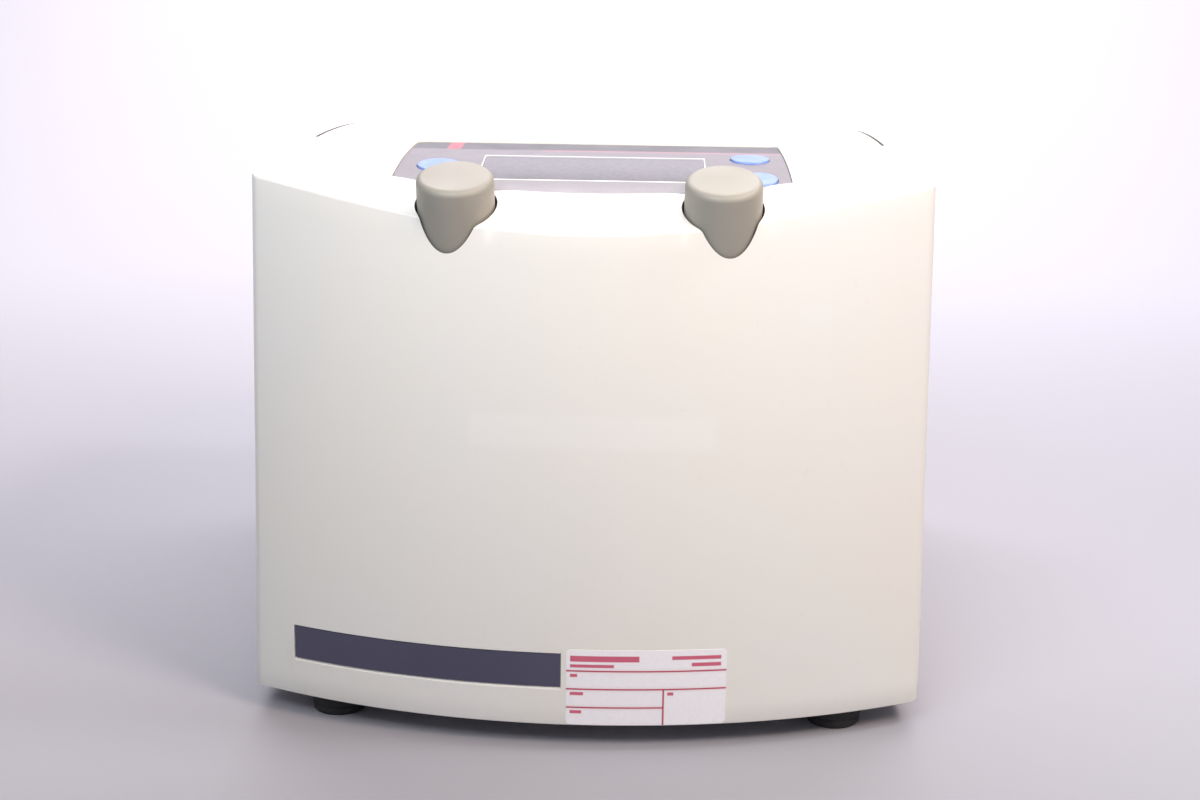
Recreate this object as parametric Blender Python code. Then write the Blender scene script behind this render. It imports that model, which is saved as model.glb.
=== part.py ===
"""A bench microcentrifuge: moulded housing, hinged lid, rotor chamber, drive and controls.

Metres, +Z up, +Y to the back, +X to the right as seen from the front. The origin is on the
table, under the centre of the body. All sizes below are in millimetres and become metres in
the mesh helpers. "depth" always means the distance behind the foremost point of the front face.
"""

import bmesh
import bpy
from math import asin, cos, exp, log, pi, radians, sin, sqrt, tan
from mathutils import Matrix, Vector

# ---------------------------------------------------------------- driving dimensions (mm)
MM = 0.001
GAP = 0.3                     # clearance between pieces that touch in the real object

BODY_DEPTH = 350.0
BODY_WIDTH = 241.0            # across the upper front corners
BODY_BOTTOM = 9.0             # the housing stands this far above the table, on its feet
TOP_HEIGHT = 212.5            # level that the top surface rises towards
BOW_RADIUS = 262.0            # plan radius of the bowed front face
SIDE_DRAFT = radians(1.18)    # the sides lean outwards towards the bottom
CORNER_HEIGHT = 200.7         # where BODY_WIDTH is measured
LIP_DROP = 27.3               # how far the top surface falls at the middle of the front edge
LIP_LENGTH = 34.5             # decay length of that fall
FALL_SLOPE = 0.07             # the top falls gently towards the back ...
FALL_DEPTH = 175.0            # ... from about this depth ...
FALL_EASE = 25.0              # ... and eases in over this distance
FRONT_CORNER_RADIUS = 5.0
REAR_CORNER_RADIUS = 14.0
REAR_TOP_RADIUS = 12.0
WALL = 3.0

ROTOR_DEPTH = 187.0           # rotor axis, behind the front face
LID_FRONT = 92.8
LID_HALF_WIDTH = 109.2
LID_GAP = 0.8
LID_WALL = 2.4
LID_RIM_Z = 193.2             # lower edge of the lid's side walls
DECK_Z = 190.0                # floor of the recess that the lid closes into
DECK_THICKNESS = 3.0
VIEWPORT_RADIUS = 8.6
HINGE_DEPTH = 300.0
HINGE_RADIUS = 6.2
HINGE_X = 80.0
HINGE_GAP_WIDTH = 17.0
HINGE_PIN_RADIUS = 2.0
HINGE_PIN_HALF = 20.0
RUNNING_CLEARANCE = 0.08

KNOB_X = 45.8
KNOB_RADIUS = 13.6            # at the skirt
KNOB_DRAFT = 0.3              # the knob is this much slimmer at the top
KNOB_BORE_RADIUS = 14.15
KNOB_TILT = radians(21.0)     # the knobs lean towards the user
KNOB_PIVOT_DEPTH = 18.1       # a point on the knob axis
KNOB_PIVOT_Z = 180.8
KNOB_TOP_ALONG = 24.0         # top face, along the axis from that point
KNOB_FLOOR_ALONG = -11.5      # floor of the well that the knob stands in
KNOB_EDGE_RADIUS = 3.0
KNOB_NOTCH = 1.2              # the panel film stays this far from the knob wells
WELL_WALL = 2.4

PANEL_HALF_WIDTH = 70.2       # at the front corners
PANEL_REAR_HALF_WIDTH = 68.2
PANEL_FRONT_OFFSET = 19.8     # the panel's front edge runs this far behind the bowed edge
PANEL_REAR = 85.0
PANEL_CORNER = 3.5
PANEL_THICKNESS = 0.9
PANEL_RECESS = 1.3
WINDOW_HALF_WIDTH = 39.8
WINDOW_FRONT = 30.4
WINDOW_REAR = 57.8
KEYS = {                      # name: (x, depth, half width, half length)
    "key_left": (-55.5, 42.8, 7.6, 6.8),
    "key_right_rear": (56.6, 56.8, 7.0, 6.4),
    "key_right_front": (58.4, 32.8, 7.0, 5.8),
}
KEY_THICKNESS = 1.2
KEY_PROUD = 0.25

BOWL_RADIUS = 84.0
BOWL_FLOOR_Z = 104.0
BOWL_SHEET = 1.2
BOWL_RIM_RADIUS = 89.5
ROTOR_BASE_Z = 112.0
ROTOR_RADIUS = 80.0
TUBE_COUNT = 24
TUBE_RADIUS = 5.5
TUBE_RING_RADIUS = 48.0       # centres of the tube mouths
TUBE_MOUTH_Z = 156.0
TUBE_DEPTH = 36.0
TUBE_ANGLE = radians(45.0)
TUBE_SIDES = 10
MOTOR_RADIUS = 38.0
SPINDLE_RADIUS = 5.0

FOOT_RADIUS = 11.0
FOOT_X = 93.0
FOOT_DEPTHS = (34.0, 318.0)

LATCH_X = 92.0
LATCH_DEPTH = 107.0
HOOK_PIVOT_DEPTH = 117.0
HOOK_PIVOT_Z = 146.0
HOOK_LENGTH = 31.0

REAR_PANEL_HALF_WIDTH = 102.0
REAR_PANEL_LOW = 18.0
REAR_PANEL_HIGH = 150.0
REAR_WALL = 4.0
PANEL_SHEET = 2.0
INLET_X = -70.0
INLET_Z = 52.0
SWITCH_X = -28.0
SWITCH_Z = 52.0

COARSE = 14                   # sides of small round pieces
SHAFT = 20                    # sides of shafts and of the holes that they run in
FINE = 30                     # sides of large round pieces
CUTTER_TURN = radians(2.7)    # cutters are turned a little, so their edges miss the piece's own


# ---------------------------------------------------------------- scene and materials
def clear_scene():
    for old in list(bpy.data.objects):
        bpy.data.objects.remove(old, do_unlink=True)


def principled(name, colour, roughness, metallic=0.0, alpha=1.0):
    made = bpy.data.materials.new(name)
    made.use_nodes = True
    shader = made.node_tree.nodes["Principled BSDF"]
    shader.inputs["Base Color"].default_value = (*colour, 1.0)
    shader.inputs["Roughness"].default_value = roughness
    shader.inputs["Metallic"].default_value = metallic
    shader.inputs["Alpha"].default_value = alpha
    made.diffuse_color = (*colour, alpha)
    return made


def make_materials():
    return {
        "housing": principled("housing_plastic", (0.83, 0.81, 0.75), 0.45),
        "lid": principled("lid_plastic", (0.86, 0.85, 0.80), 0.42),
        "liner": principled("liner_plastic", (0.72, 0.72, 0.70), 0.5),
        "knob": principled("knob_plastic", (0.42, 0.40, 0.35), 0.5),
        "overlay": principled("overlay_film", (0.60, 0.58, 0.64), 0.4),
        "key": principled("key_blue", (0.25, 0.50, 0.85), 0.4),
        "window": principled("window_glass", (0.33, 0.32, 0.37), 0.15, alpha=0.7),
        "band": principled("band_slate", (0.07, 0.07, 0.12), 0.4),
        "sticker": principled("sticker_paper", (0.90, 0.90, 0.90), 0.5),
        "steel": principled("sheet_steel", (0.55, 0.56, 0.58), 0.35, 1.0),
        "bright": principled("bright_steel", (0.72, 0.73, 0.75), 0.22, 1.0),
        "aluminium": principled("rotor_aluminium", (0.20, 0.21, 0.23), 0.35, 1.0),
        "rubber": principled("black_rubber", (0.03, 0.03, 0.035), 0.8),
        "grey_rubber": principled("grey_rubber", (0.16, 0.16, 0.17), 0.75),
        "board": principled("circuit_board", (0.03, 0.16, 0.07), 0.5),
        "black": principled("black_plastic", (0.03, 0.03, 0.03), 0.45),
        "copper": principled("copper_winding", (0.60, 0.27, 0.12), 0.4, 1.0),
        "lens": principled("clear_lens", (0.75, 0.80, 0.82), 0.05, alpha=0.4),
    }


# ---------------------------------------------------------------- mesh helpers
def at_depth(depth):
    """Y of a point that lies this far behind the front face."""
    return depth - BODY_DEPTH / 2


def as_object(mesh, name):
    thing = bpy.data.objects.new(name, mesh)
    bpy.context.scene.collection.objects.link(thing)
    return thing


def from_bmesh(bm, name):
    bmesh.ops.recalc_face_normals(bm, faces=bm.faces)
    mesh = bpy.data.meshes.new(name)
    bm.to_mesh(mesh)
    bm.free()
    return as_object(mesh, name)


def loft(name, sections):
    """A closed solid through rings of points (mm) that all have the same number of points."""
    bm = bmesh.new()
    rings = [[bm.verts.new(Vector(p) * MM) for p in ring] for ring in sections]
    bm.faces.new(rings[0])
    bm.faces.new(rings[-1])
    for low, high in zip(rings, rings[1:]):
        for i in range(len(low)):
            j = (i + 1) % len(low)
            bm.faces.new((low[i], low[j], high[j], high[i]))
    return from_bmesh(bm, name)


def prism_z(name, outline, z0, z1):
    return loft(name, [[(x, y, z) for x, y in outline] for z in (z0, z1)])


def prism_x(name, outline, x0, x1):
    """A solid whose (y, z) outline runs from x0 to x1."""
    return loft(name, [[(x, y, z) for y, z in outline] for x in (x0, x1)])


def prism_y(name, outline, y0, y1):
    """A solid whose (x, z) outline runs from y0 to y1."""
    return loft(name, [[(x, y, z) for x, z in outline] for y in (y0, y1)])


def block(name, low, high):
    outline = [(low[0], low[1]), (high[0], low[1]), (high[0], high[1]), (low[0], high[1])]
    return prism_z(name, outline, low[2], high[2])


def turned(name, profile, centre, sides=FINE, tilt=0.0, phase=0.0):
    """A closed (radius, height) profile turned about a vertical axis, then leant forwards by tilt."""
    bm = bmesh.new()
    rings = []
    for k in range(sides):
        angle = 2 * pi * k / sides + phase
        rings.append([None if r < 1e-6 else
                      bm.verts.new(Vector((r * cos(angle), r * sin(angle), z)) * MM)
                      for r, z in profile])
    poles = [bm.verts.new(Vector((0, 0, z)) * MM) if r < 1e-6 else None for r, z in profile]
    for k in range(sides):
        here, after = rings[k], rings[(k + 1) % sides]
        for i in range(len(profile)):
            j = (i + 1) % len(profile)
            corners = [here[i] or poles[i], here[j] or poles[j],
                       after[j] or poles[j], after[i] or poles[i]]
            unique = list(dict.fromkeys(corners))
            if len(unique) > 2:
                bm.faces.new(unique)
    made = from_bmesh(bm, name)
    place = Matrix.Translation(Vector(centre) * MM) @ Matrix.Rotation(tilt, 4, "X")
    made.data.transform(place)
    return made


def cylinder(name, radius, z0, z1, centre, sides=COARSE, tilt=0.0, phase=0.0):
    profile = [(0, z0), (radius, z0), (radius, z1), (0, z1)]
    return turned(name, profile, centre, sides, tilt, phase)


def ring(name, inner, outer, z0, z1, centre, sides=COARSE, tilt=0.0):
    profile = [(inner, z0), (outer, z0), (outer, z1), (inner, z1)]
    return turned(name, profile, centre, sides, tilt)


def rod_along(name, axis, radius, start, end, centre, sides=COARSE):
    """A round bar along X or Y; centre holds the other two coordinates and 0 along the axis."""
    bar = cylinder(name, radius, start, end, (0, 0, 0), sides)
    turn = Matrix.Rotation(pi / 2, 4, "Y") if axis == "X" else Matrix.Rotation(-pi / 2, 4, "X")
    bar.data.transform(Matrix.Translation(Vector(centre) * MM) @ turn)
    return bar


def boolean(thing, other, operation):
    """Applies an exact boolean and removes the other solid."""
    step = thing.modifiers.new(operation.lower(), "BOOLEAN")
    step.operation = operation
    step.solver = "EXACT"
    step.object = other
    bpy.context.view_layer.update()
    seen = thing.evaluated_get(bpy.context.evaluated_depsgraph_get())
    result = bpy.data.meshes.new_from_object(seen)
    thing.modifiers.remove(step)
    thing.data = result
    bpy.data.objects.remove(other, do_unlink=True)
    return thing


def cut(thing, *others):
    for other in others:
        boolean(thing, other, "DIFFERENCE")
    return thing


def unite(thing, *others):
    for other in others:
        boolean(thing, other, "UNION")
    return thing


def keep_common(thing, other):
    return boolean(thing, other, "INTERSECT")


def finish(thing, name, paint, origin=(0, 0, 0), sharp=radians(35)):
    """Names and paints a piece, and puts its origin on its joint axis or reference point."""
    thing.name = name
    thing.data.name = name
    thing.data.materials.clear()
    thing.data.materials.append(paint)
    point = Vector(origin) * MM
    thing.data.transform(Matrix.Translation(-point))
    thing.location = point
    thing.data.shade_smooth()
    thing.data.set_sharp_from_angle(angle=sharp)
    return thing


def arc(centre, radius, start, end, count):
    """Points on an arc in a plane, angles in radians."""
    steps = [start + (end - start) * i / count for i in range(count + 1)]
    return [(centre[0] + radius * cos(a), centre[1] + radius * sin(a)) for a in steps]


def rounded_rectangle(x0, y0, x1, y1, radius, count=4):
    corners = (((x1 - radius, y0 + radius), -pi / 2), ((x1 - radius, y1 - radius), 0),
               ((x0 + radius, y1 - radius), pi / 2), ((x0 + radius, y0 + radius), pi))
    return [p for c, a in corners for p in arc(c, radius, a, a + pi / 2, count)]


def ellipse(x, y, half_x, half_y, count=COARSE):
    return [(x + half_x * cos(2 * pi * k / count), y + half_y * sin(2 * pi * k / count))
            for k in range(count)]


# ---------------------------------------------------------------- the body's two surfaces
def crown(depth):
    """Height of the top surface at a depth."""
    behind = depth - FALL_DEPTH
    fall = FALL_SLOPE * (sqrt(behind ** 2 + FALL_EASE ** 2) + behind) / 2
    z = TOP_HEIGHT - LIP_DROP * exp(-depth / LIP_LENGTH) - fall
    past = depth - (BODY_DEPTH - REAR_TOP_RADIUS)
    if past > 0:
        z -= REAR_TOP_RADIUS - sqrt(max(REAR_TOP_RADIUS ** 2 - past ** 2, 0))
    return z


def crown_depths(start, end):
    """Depths that follow the crown closely: even steps of slope, then the rounded rear edge."""
    steps = 11
    even = [-LIP_LENGTH * log(1 - i / steps) for i in range(steps)]
    far = [115.0, 145.0, 168.0, 186.0, 205.0, 240.0, BODY_DEPTH - REAR_TOP_RADIUS]
    rear = [BODY_DEPTH - REAR_TOP_RADIUS * (1 - sin(pi / 2 * i / 5)) for i in range(1, 6)]
    inside = [d for d in even + far + rear if start + 0.5 < d < end - 0.5]
    return [start] + inside + [end]


def crown_layer(name, start, end, low, high, half_width):
    """A layer that follows the top surface, from low to high above it, between two depths."""
    depths = crown_depths(start, end)
    upper = [(at_depth(d), crown(d) + high) for d in depths]
    lower = [(at_depth(d), crown(d) + low) for d in reversed(depths)]
    return prism_x(name, upper + lower, -half_width, half_width)


def under_crown(name, start, end, bottom, below, half_width):
    """Everything from a flat bottom up to the top surface less a distance, between two depths."""
    depths = crown_depths(start, end)
    upper = [(at_depth(d), crown(d) - below) for d in depths]
    outline = upper + [(at_depth(end), bottom), (at_depth(start), bottom)]
    return prism_x(name, outline, -half_width, half_width)


def bow(x, inset=0.0):
    """Depth of the front face at x."""
    radius = BOW_RADIUS - inset
    return BOW_RADIUS - sqrt(radius ** 2 - x ** 2)


def half_width(z, inset=0.0):
    return BODY_WIDTH / 2 + (CORNER_HEIGHT - z) * tan(SIDE_DRAFT) - inset


def plan(z, inset=0.0, rear=BODY_DEPTH, segments=20):
    """Outline of the body at a height: bowed front, straight sides, rounded corners."""
    side = half_width(z, inset)
    front_r = max(FRONT_CORNER_RADIUS - inset, 1.5)
    rear_r = max(REAR_CORNER_RADIUS - inset, 1.5)
    bow_r = BOW_RADIUS - inset
    reach = asin((side - front_r) / (bow_r - front_r))
    corner = (side - front_r, BOW_RADIUS - (bow_r - front_r) * cos(reach))
    front = arc((0, BOW_RADIUS), bow_r, -pi / 2 - reach, -pi / 2 + reach, segments)
    right = arc(corner, front_r, -pi / 2 + reach, 0, 4)[1:]
    back_right = arc((side - rear_r, rear - rear_r), rear_r, 0, pi / 2, 5)
    back_left = [(-x, y) for x, y in reversed(back_right)]
    left = [(-x, y) for x, y in reversed(right)]
    return [(x, at_depth(d)) for x, d in front + right + back_right + back_left + left]


def body_block(name, z0, z1, inset=0.0, rear=BODY_DEPTH):
    """The drafted body between two heights."""
    rings = [[(x, y, z) for x, y in plan(z, inset, rear)] for z in (z0, z1)]
    return loft(name, rings)


def panel_outline(grow=0.0):
    """Outline of the control panel: front edge parallel to the bow, rounded rear corners."""
    side = PANEL_HALF_WIDTH + grow
    radius = BOW_RADIUS - PANEL_FRONT_OFFSET + grow
    reach = asin(side / radius)
    front = arc((0, BOW_RADIUS), radius, -pi / 2 - reach, -pi / 2 + reach, 16)
    corner = PANEL_CORNER + grow
    side, rear = PANEL_REAR_HALF_WIDTH + grow, PANEL_REAR + grow
    right = arc((side - corner, rear - corner), corner, 0, pi / 2, 5)
    left = arc((corner - side, rear - corner), corner, pi / 2, pi, 5)
    return [(x, at_depth(d)) for x, d in front + right + left]


# ---------------------------------------------------------------- places on the axes
ROTOR_Y = at_depth(ROTOR_DEPTH)
HINGE_Y = at_depth(HINGE_DEPTH)
ROTOR_AXIS = (0.0, ROTOR_Y, 0.0)
HINGE_Z = crown(HINGE_DEPTH) - HINGE_RADIUS - GAP
HINGE_AXIS = (0.0, HINGE_Y, HINGE_Z)
KNOB_OVERHANG = ((KNOB_TOP_ALONG - KNOB_EDGE_RADIUS) * sin(KNOB_TILT)
                 + (KNOB_RADIUS - KNOB_DRAFT - KNOB_EDGE_RADIUS) * cos(KNOB_TILT)
                 + KNOB_EDGE_RADIUS - KNOB_PIVOT_DEPTH)
REAR_FACE = BODY_DEPTH / 2 + KNOB_OVERHANG    # the inlet's flange; keeps the body centred


def knob_pivot(side):
    return (side * KNOB_X, at_depth(KNOB_PIVOT_DEPTH), KNOB_PIVOT_Z)


def knob_cylinder(name, side, radius, low, high, sides=FINE, phase=0.0):
    return cylinder(name, radius, low, high, knob_pivot(side), sides, KNOB_TILT, phase)


# ---------------------------------------------------------------- housing
def upper_housing(paint):
    recess_side = LID_HALF_WIDTH + LID_GAP
    recess_front = at_depth(LID_FRONT - LID_GAP)
    recess_rear = at_depth(HINGE_DEPTH + HINGE_RADIUS + LID_GAP)
    shell = body_block("shell", BODY_BOTTOM, TOP_HEIGHT + 20)
    keep_common(shell, under_crown("limit", -10, BODY_DEPTH + 0.01, BODY_BOTTOM - 5, 0, 200))

    hollow = body_block("hollow", BODY_BOTTOM - 10, TOP_HEIGHT + 10, WALL, BODY_DEPTH - REAR_WALL)
    keep_common(hollow, under_crown("ceiling", -10, BODY_DEPTH - REAR_WALL + 1,
                                    BODY_BOTTOM - 20, WALL, 200))
    deck = block("deck", (-200, recess_front - WALL, DECK_Z - DECK_THICKNESS),
                 (200, recess_rear + WALL, TOP_HEIGHT + 30))
    cut(hollow, deck)
    for side in (-1, 1):
        well_low = KNOB_FLOOR_ALONG - WELL_WALL
        cut(hollow, knob_cylinder("well", side, KNOB_BORE_RADIUS + WELL_WALL, well_low, 60))
    cut(shell, hollow)

    cut(shell, block("lid_recess", (-recess_side, recess_front, DECK_Z),
                     (recess_side, recess_rear, TOP_HEIGHT + 30)))
    cut(shell, cylinder("mouth", BOWL_RADIUS + BOWL_SHEET + 0.6, DECK_Z - 20, DECK_Z + 20,
                        ROTOR_AXIS, FINE))
    cut(shell, latch_slot())
    for side in (-1, 1):
        cut(shell, knob_cylinder("bore", side, KNOB_BORE_RADIUS, KNOB_FLOOR_ALONG, 60, FINE,
                                 CUTTER_TURN))
        cut(shell, knob_cylinder("shaft_hole", side, 3.6, -30, 0, COARSE, CUTTER_TURN))
    cut_panel_recess(shell)
    cut_name_recess(shell)
    cut_rear_opening(shell)
    return finish(shell, "upper_housing", paint["housing"])


def latch_slot():
    x, y = LATCH_X, at_depth(LATCH_DEPTH)
    return block("latch_slot", (x - 8, y - 6, DECK_Z - 10), (x + 8, y + 5, DECK_Z + 10))


def cut_panel_recess(shell):
    film = prism_z("film", panel_outline(GAP), 150, 230)
    layer = crown_layer("film_layer", 5, 100, -PANEL_RECESS, 20, 90)
    cut(shell, keep_common(film, layer))
    window = block("window", (-WINDOW_HALF_WIDTH + 2, at_depth(WINDOW_FRONT + 2), 185),
                   (WINDOW_HALF_WIDTH - 2, at_depth(WINDOW_REAR - 2), 230))
    cut(shell, window)
    for x, depth, half_x, half_y in KEYS.values():
        hole = ellipse(x, at_depth(depth), half_x + GAP, half_y + GAP)
        cut(shell, prism_z("key_hole", hole, 185, 230))


def front_layer(name, x0, x1, z0, z1, inner, outer, segments=12):
    """A thin curved plate on the bowed front face, from inner to outer in front of it."""
    xs = [x0 + (x1 - x0) * i / segments for i in range(segments + 1)]
    front = [(x, at_depth(bow(x, -outer))) for x in xs]
    back = [(x, at_depth(bow(x, -inner))) for x in reversed(xs)]
    return prism_z(name, front + back, z0, z1)


BAND = (-107.3, -7.8, 23.5, 35.8)          # x0, x1, z0, z1 of the name band
STICKER = (-5.7, 51.4, 9.6, 37.7)


def cut_name_recess(shell):
    x0, x1, z0, z1 = BAND
    cut(shell, front_layer("band_recess", x0 - GAP, x1 + GAP, z0 - GAP, z1 + GAP, -0.8, 5))


def cut_rear_opening(shell):
    rear = BODY_DEPTH / 2
    w, low, high = REAR_PANEL_HALF_WIDTH, REAR_PANEL_LOW, REAR_PANEL_HIGH
    seat = rear - PANEL_SHEET - 2 * GAP
    cut(shell, block("seat", (-w - GAP, seat, low - GAP), (w + GAP, rear + 5, high + GAP)))
    margin = 7.0
    cut(shell, block("opening", (-w + margin, rear - 20, low + margin),
                     (w - margin, rear + 5, high - margin)))


def base_pan(paint):
    """Sheet floor with a turned-up rim, vent slots and holes for the feet."""
    low, high = BODY_BOTTOM + GAP, BODY_BOTTOM + GAP + 9
    pan = body_block("pan", low, high, WALL + GAP, BODY_DEPTH - REAR_WALL - GAP)
    inner = body_block("inner", low + 1.6, high + 5, WALL + GAP + 1.6,
                       BODY_DEPTH - REAR_WALL - GAP - 1.6)
    cut(pan, inner)
    for x in (-1, 1):
        for row in range(6):
            y = ROTOR_Y - 35 + 14 * row
            slot = rounded_rectangle(x * 78 - 18, y - 1.8, x * 78 + 18, y + 1.8, 1.7, 2)
            cut(pan, prism_z("slot", slot, low - 2, low + 4))
    return finish(pan, "base_pan", paint["steel"])


def foot(name, x, depth, paint):
    top = BODY_BOTTOM
    profile = [(0, 0), (8.6, 0), (9.8, 0.9), (FOOT_RADIUS, top - 1.2), (FOOT_RADIUS, top), (0, top)]
    made = turned(name, profile, (x, at_depth(depth), 0), COARSE)
    return finish(made, name, paint["rubber"], (x, at_depth(depth), 0))


def rear_panel(paint):
    rear = BODY_DEPTH / 2 - GAP
    front = rear - PANEL_SHEET
    w = REAR_PANEL_HALF_WIDTH
    plate = block("plate", (-w, front, REAR_PANEL_LOW), (w, rear, REAR_PANEL_HIGH))
    cut(plate, block("inlet_hole", (INLET_X - 14.6, front - 5, INLET_Z - 25.6),
                     (INLET_X + 14.6, rear + 5, INLET_Z + 25.6)))
    cut(plate, block("switch_hole", (SWITCH_X - 7.1, front - 5, SWITCH_Z - 10.6),
                     (SWITCH_X + 7.1, rear + 5, SWITCH_Z + 10.6)))
    for column in range(11):
        x = 8 + 8 * column
        slot = rounded_rectangle(x - 1.7, 40, x + 1.7, 96, 1.6, 2)
        cut(plate, prism_y("vent", slot, front - 5, rear + 5))
    for x, z in rear_screw_places():
        cut(plate, rod_along("screw_hole", "Y", 2.0, front - 5, rear + 5, (x, 0, z)))
    return finish(plate, "rear_panel", paint["steel"])


def rear_screw_places():
    x = REAR_PANEL_HALF_WIDTH - 3.6
    return [(sx * x, z) for sx in (-1, 1)
            for z in (REAR_PANEL_LOW + 3.6, REAR_PANEL_HIGH - 3.6)]


def rear_screw(name, x, z, paint):
    """Low round head on the panel, with a shank in its hole."""
    rear = BODY_DEPTH / 2
    profile = [(0, -1.9), (1.6, -1.9), (1.6, 0), (3.4, 0), (3.1, 0.7), (2.0, 1.0), (0, 1.0)]
    screw = turned(name, profile, (0, 0, 0), COARSE)
    screw.data.transform(Matrix.Translation(Vector((x, rear, z)) * MM)
                         @ Matrix.Rotation(-pi / 2, 4, "X"))
    return finish(screw, name, paint["bright"], (x, rear, z))


# ---------------------------------------------------------------- controls
def control_overlay(paint):
    film = prism_z("film", panel_outline(), 150, 230)
    high = -0.1
    layer = crown_layer("layer", 5, 100, high - PANEL_THICKNESS, high, 90)
    keep_common(film, layer)
    w = WINDOW_HALF_WIDTH
    window = block("window", (-w, at_depth(WINDOW_FRONT), 185), (w, at_depth(WINDOW_REAR), 230))
    cut(film, window)
    for x, depth, half_x, half_y in KEYS.values():
        hole = ellipse(x, at_depth(depth), half_x + GAP, half_y + GAP)
        cut(film, prism_z("key_hole", hole, 185, 230))
    for side in (-1, 1):
        cut(film, knob_cylinder("knob_notch", side, KNOB_BORE_RADIUS + KNOB_NOTCH, 0, 60))
    return finish(film, "control_overlay", paint["overlay"])


def display_window(paint):
    start, end = WINDOW_FRONT + GAP, WINDOW_REAR - GAP
    high = -0.15
    pane = crown_layer("pane", start, end, high - 0.8, high, WINDOW_HALF_WIDTH - GAP)
    return finish(pane, "display_window", paint["window"])


def display_module(paint):
    """Liquid-crystal module in a frame, under the window."""
    low, high = 190.2, 198.0
    y0, y1 = at_depth(37.5), at_depth(64)
    module = block("module", (-37, y0, low), (37, y1, high))
    cut(module, block("glass", (-34, y0 + 3, high - 1.0), (34, y1 - 3, high + 5)))
    return finish(module, "display_module", paint["black"])


def control_board(paint):
    """Printed board with one switch body under each key."""
    low, high = 187.0, 188.6
    board = block("board", (-66, at_depth(38.5), low), (66, at_depth(84), high))
    for x, depth, _, _ in KEYS.values():
        top = crown(depth) - 4.6
        y = at_depth(max(depth, 42.5))
        unite(board, block("switch", (x - 3, y - 3, high - 0.5), (x + 3, y + 3, top)))
    return finish(board, "control_board", paint["board"])


def key(name, paint):
    x, depth, half_x, half_y = KEYS[name]
    cap = prism_z(name, ellipse(x, at_depth(depth), half_x, half_y), 150, 230)
    layer = crown_layer("layer", 5, 100, KEY_PROUD - KEY_THICKNESS, KEY_PROUD, 90)
    keep_common(cap, layer)
    return finish(cap, name, paint["key"], (x, at_depth(depth), crown(depth)))


def knob(name, side, paint):
    """Round cap with a rounded top edge and a stem that reaches into its encoder."""
    top, low, edge = KNOB_TOP_ALONG, KNOB_FLOOR_ALONG + 1.0, KNOB_EDGE_RADIUS
    slim = KNOB_RADIUS - KNOB_DRAFT
    rounding = arc((slim - edge, top - edge), edge, 0, pi / 2, 3)
    stem_low = KNOB_FLOOR_ALONG - WELL_WALL - 8
    profile = [(0, stem_low), (3.0, stem_low), (3.0, low), (KNOB_RADIUS - 0.8, low),
               (KNOB_RADIUS, low + 0.8)] + rounding + [(0, top)]
    cap = turned(name, profile, knob_pivot(side), FINE, KNOB_TILT)
    return finish(cap, name, paint["knob"], knob_pivot(side))


def encoder(name, side, paint):
    high = KNOB_FLOOR_ALONG - WELL_WALL - GAP
    profile = [(3.3, high - 10), (7.0, high - 10), (7.0, high - 2), (4.6, high - 2), (4.6, high),
               (3.3, high)]
    body = turned(name, profile, knob_pivot(side), COARSE, KNOB_TILT)
    return finish(body, name, paint["black"], knob_pivot(side))


def name_band(paint):
    x0, x1, z0, z1 = BAND
    plate = front_layer("name_band", x0, x1, z0, z1, -0.5, 0.1)
    return finish(plate, "name_band", paint["band"])


def inspection_sticker(paint):
    x0, x1, z0, z1 = STICKER
    label = front_layer("inspection_sticker", x0, x1, z0, z1, GAP, GAP + 0.3, 8)
    return finish(label, "inspection_sticker", paint["sticker"])


# ---------------------------------------------------------------- lid
def hinge_gaps(name, width, extra=0.0):
    """Two cutters that free the lid's rear edge around the hinge brackets."""
    made = []
    for side in (-1, 1):
        x = side * HINGE_X
        low = (x - width / 2, at_depth(HINGE_DEPTH) - HINGE_RADIUS - 2.4 - extra, LID_RIM_Z - 10)
        high = (x + width / 2, at_depth(HINGE_DEPTH) + HINGE_RADIUS + 5, TOP_HEIGHT + 10)
        made.append(block(name, low, high))
    return made


def lid_shell(paint):
    """Top skin with side walls, a round rear edge on the hinge axis, and the viewport hole."""
    inner_rear = HINGE_DEPTH - 12.0
    shell = under_crown("lid", LID_FRONT, inner_rear, LID_RIM_Z, 0, LID_HALF_WIDTH)
    strip = crown_layer("strip", inner_rear - 4, HINGE_DEPTH, -LID_WALL, 0, LID_HALF_WIDTH)
    barrel = rod_along("barrel", "X", HINGE_RADIUS + GAP, -LID_HALF_WIDTH, LID_HALF_WIDTH,
                       HINGE_AXIS, SHAFT)
    unite(shell, strip, barrel)
    hollow = under_crown("hollow", LID_FRONT + LID_WALL, inner_rear - LID_WALL, LID_RIM_Z - 10,
                         LID_WALL, LID_HALF_WIDTH - LID_WALL)
    cut(shell, hollow)
    cut(shell, *hinge_gaps("gap", HINGE_GAP_WIDTH))
    for side in (-1, 1):
        x = side * HINGE_X
        bore, half = HINGE_PIN_RADIUS + RUNNING_CLEARANCE, HINGE_PIN_HALF + 2
        cut(shell, rod_along("pin_bore", "X", bore, x - half, x + half, HINGE_AXIS, SHAFT))
    cut(shell, cylinder("viewport_hole", VIEWPORT_RADIUS, 180, 230, ROTOR_AXIS, SHAFT))
    return finish(shell, "lid_shell", paint["lid"], HINGE_AXIS)


LINER_LOW = 193.8
LINER_HIGH = 196.3
VIEWPORT_TUBE_TOP = 207.5


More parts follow.
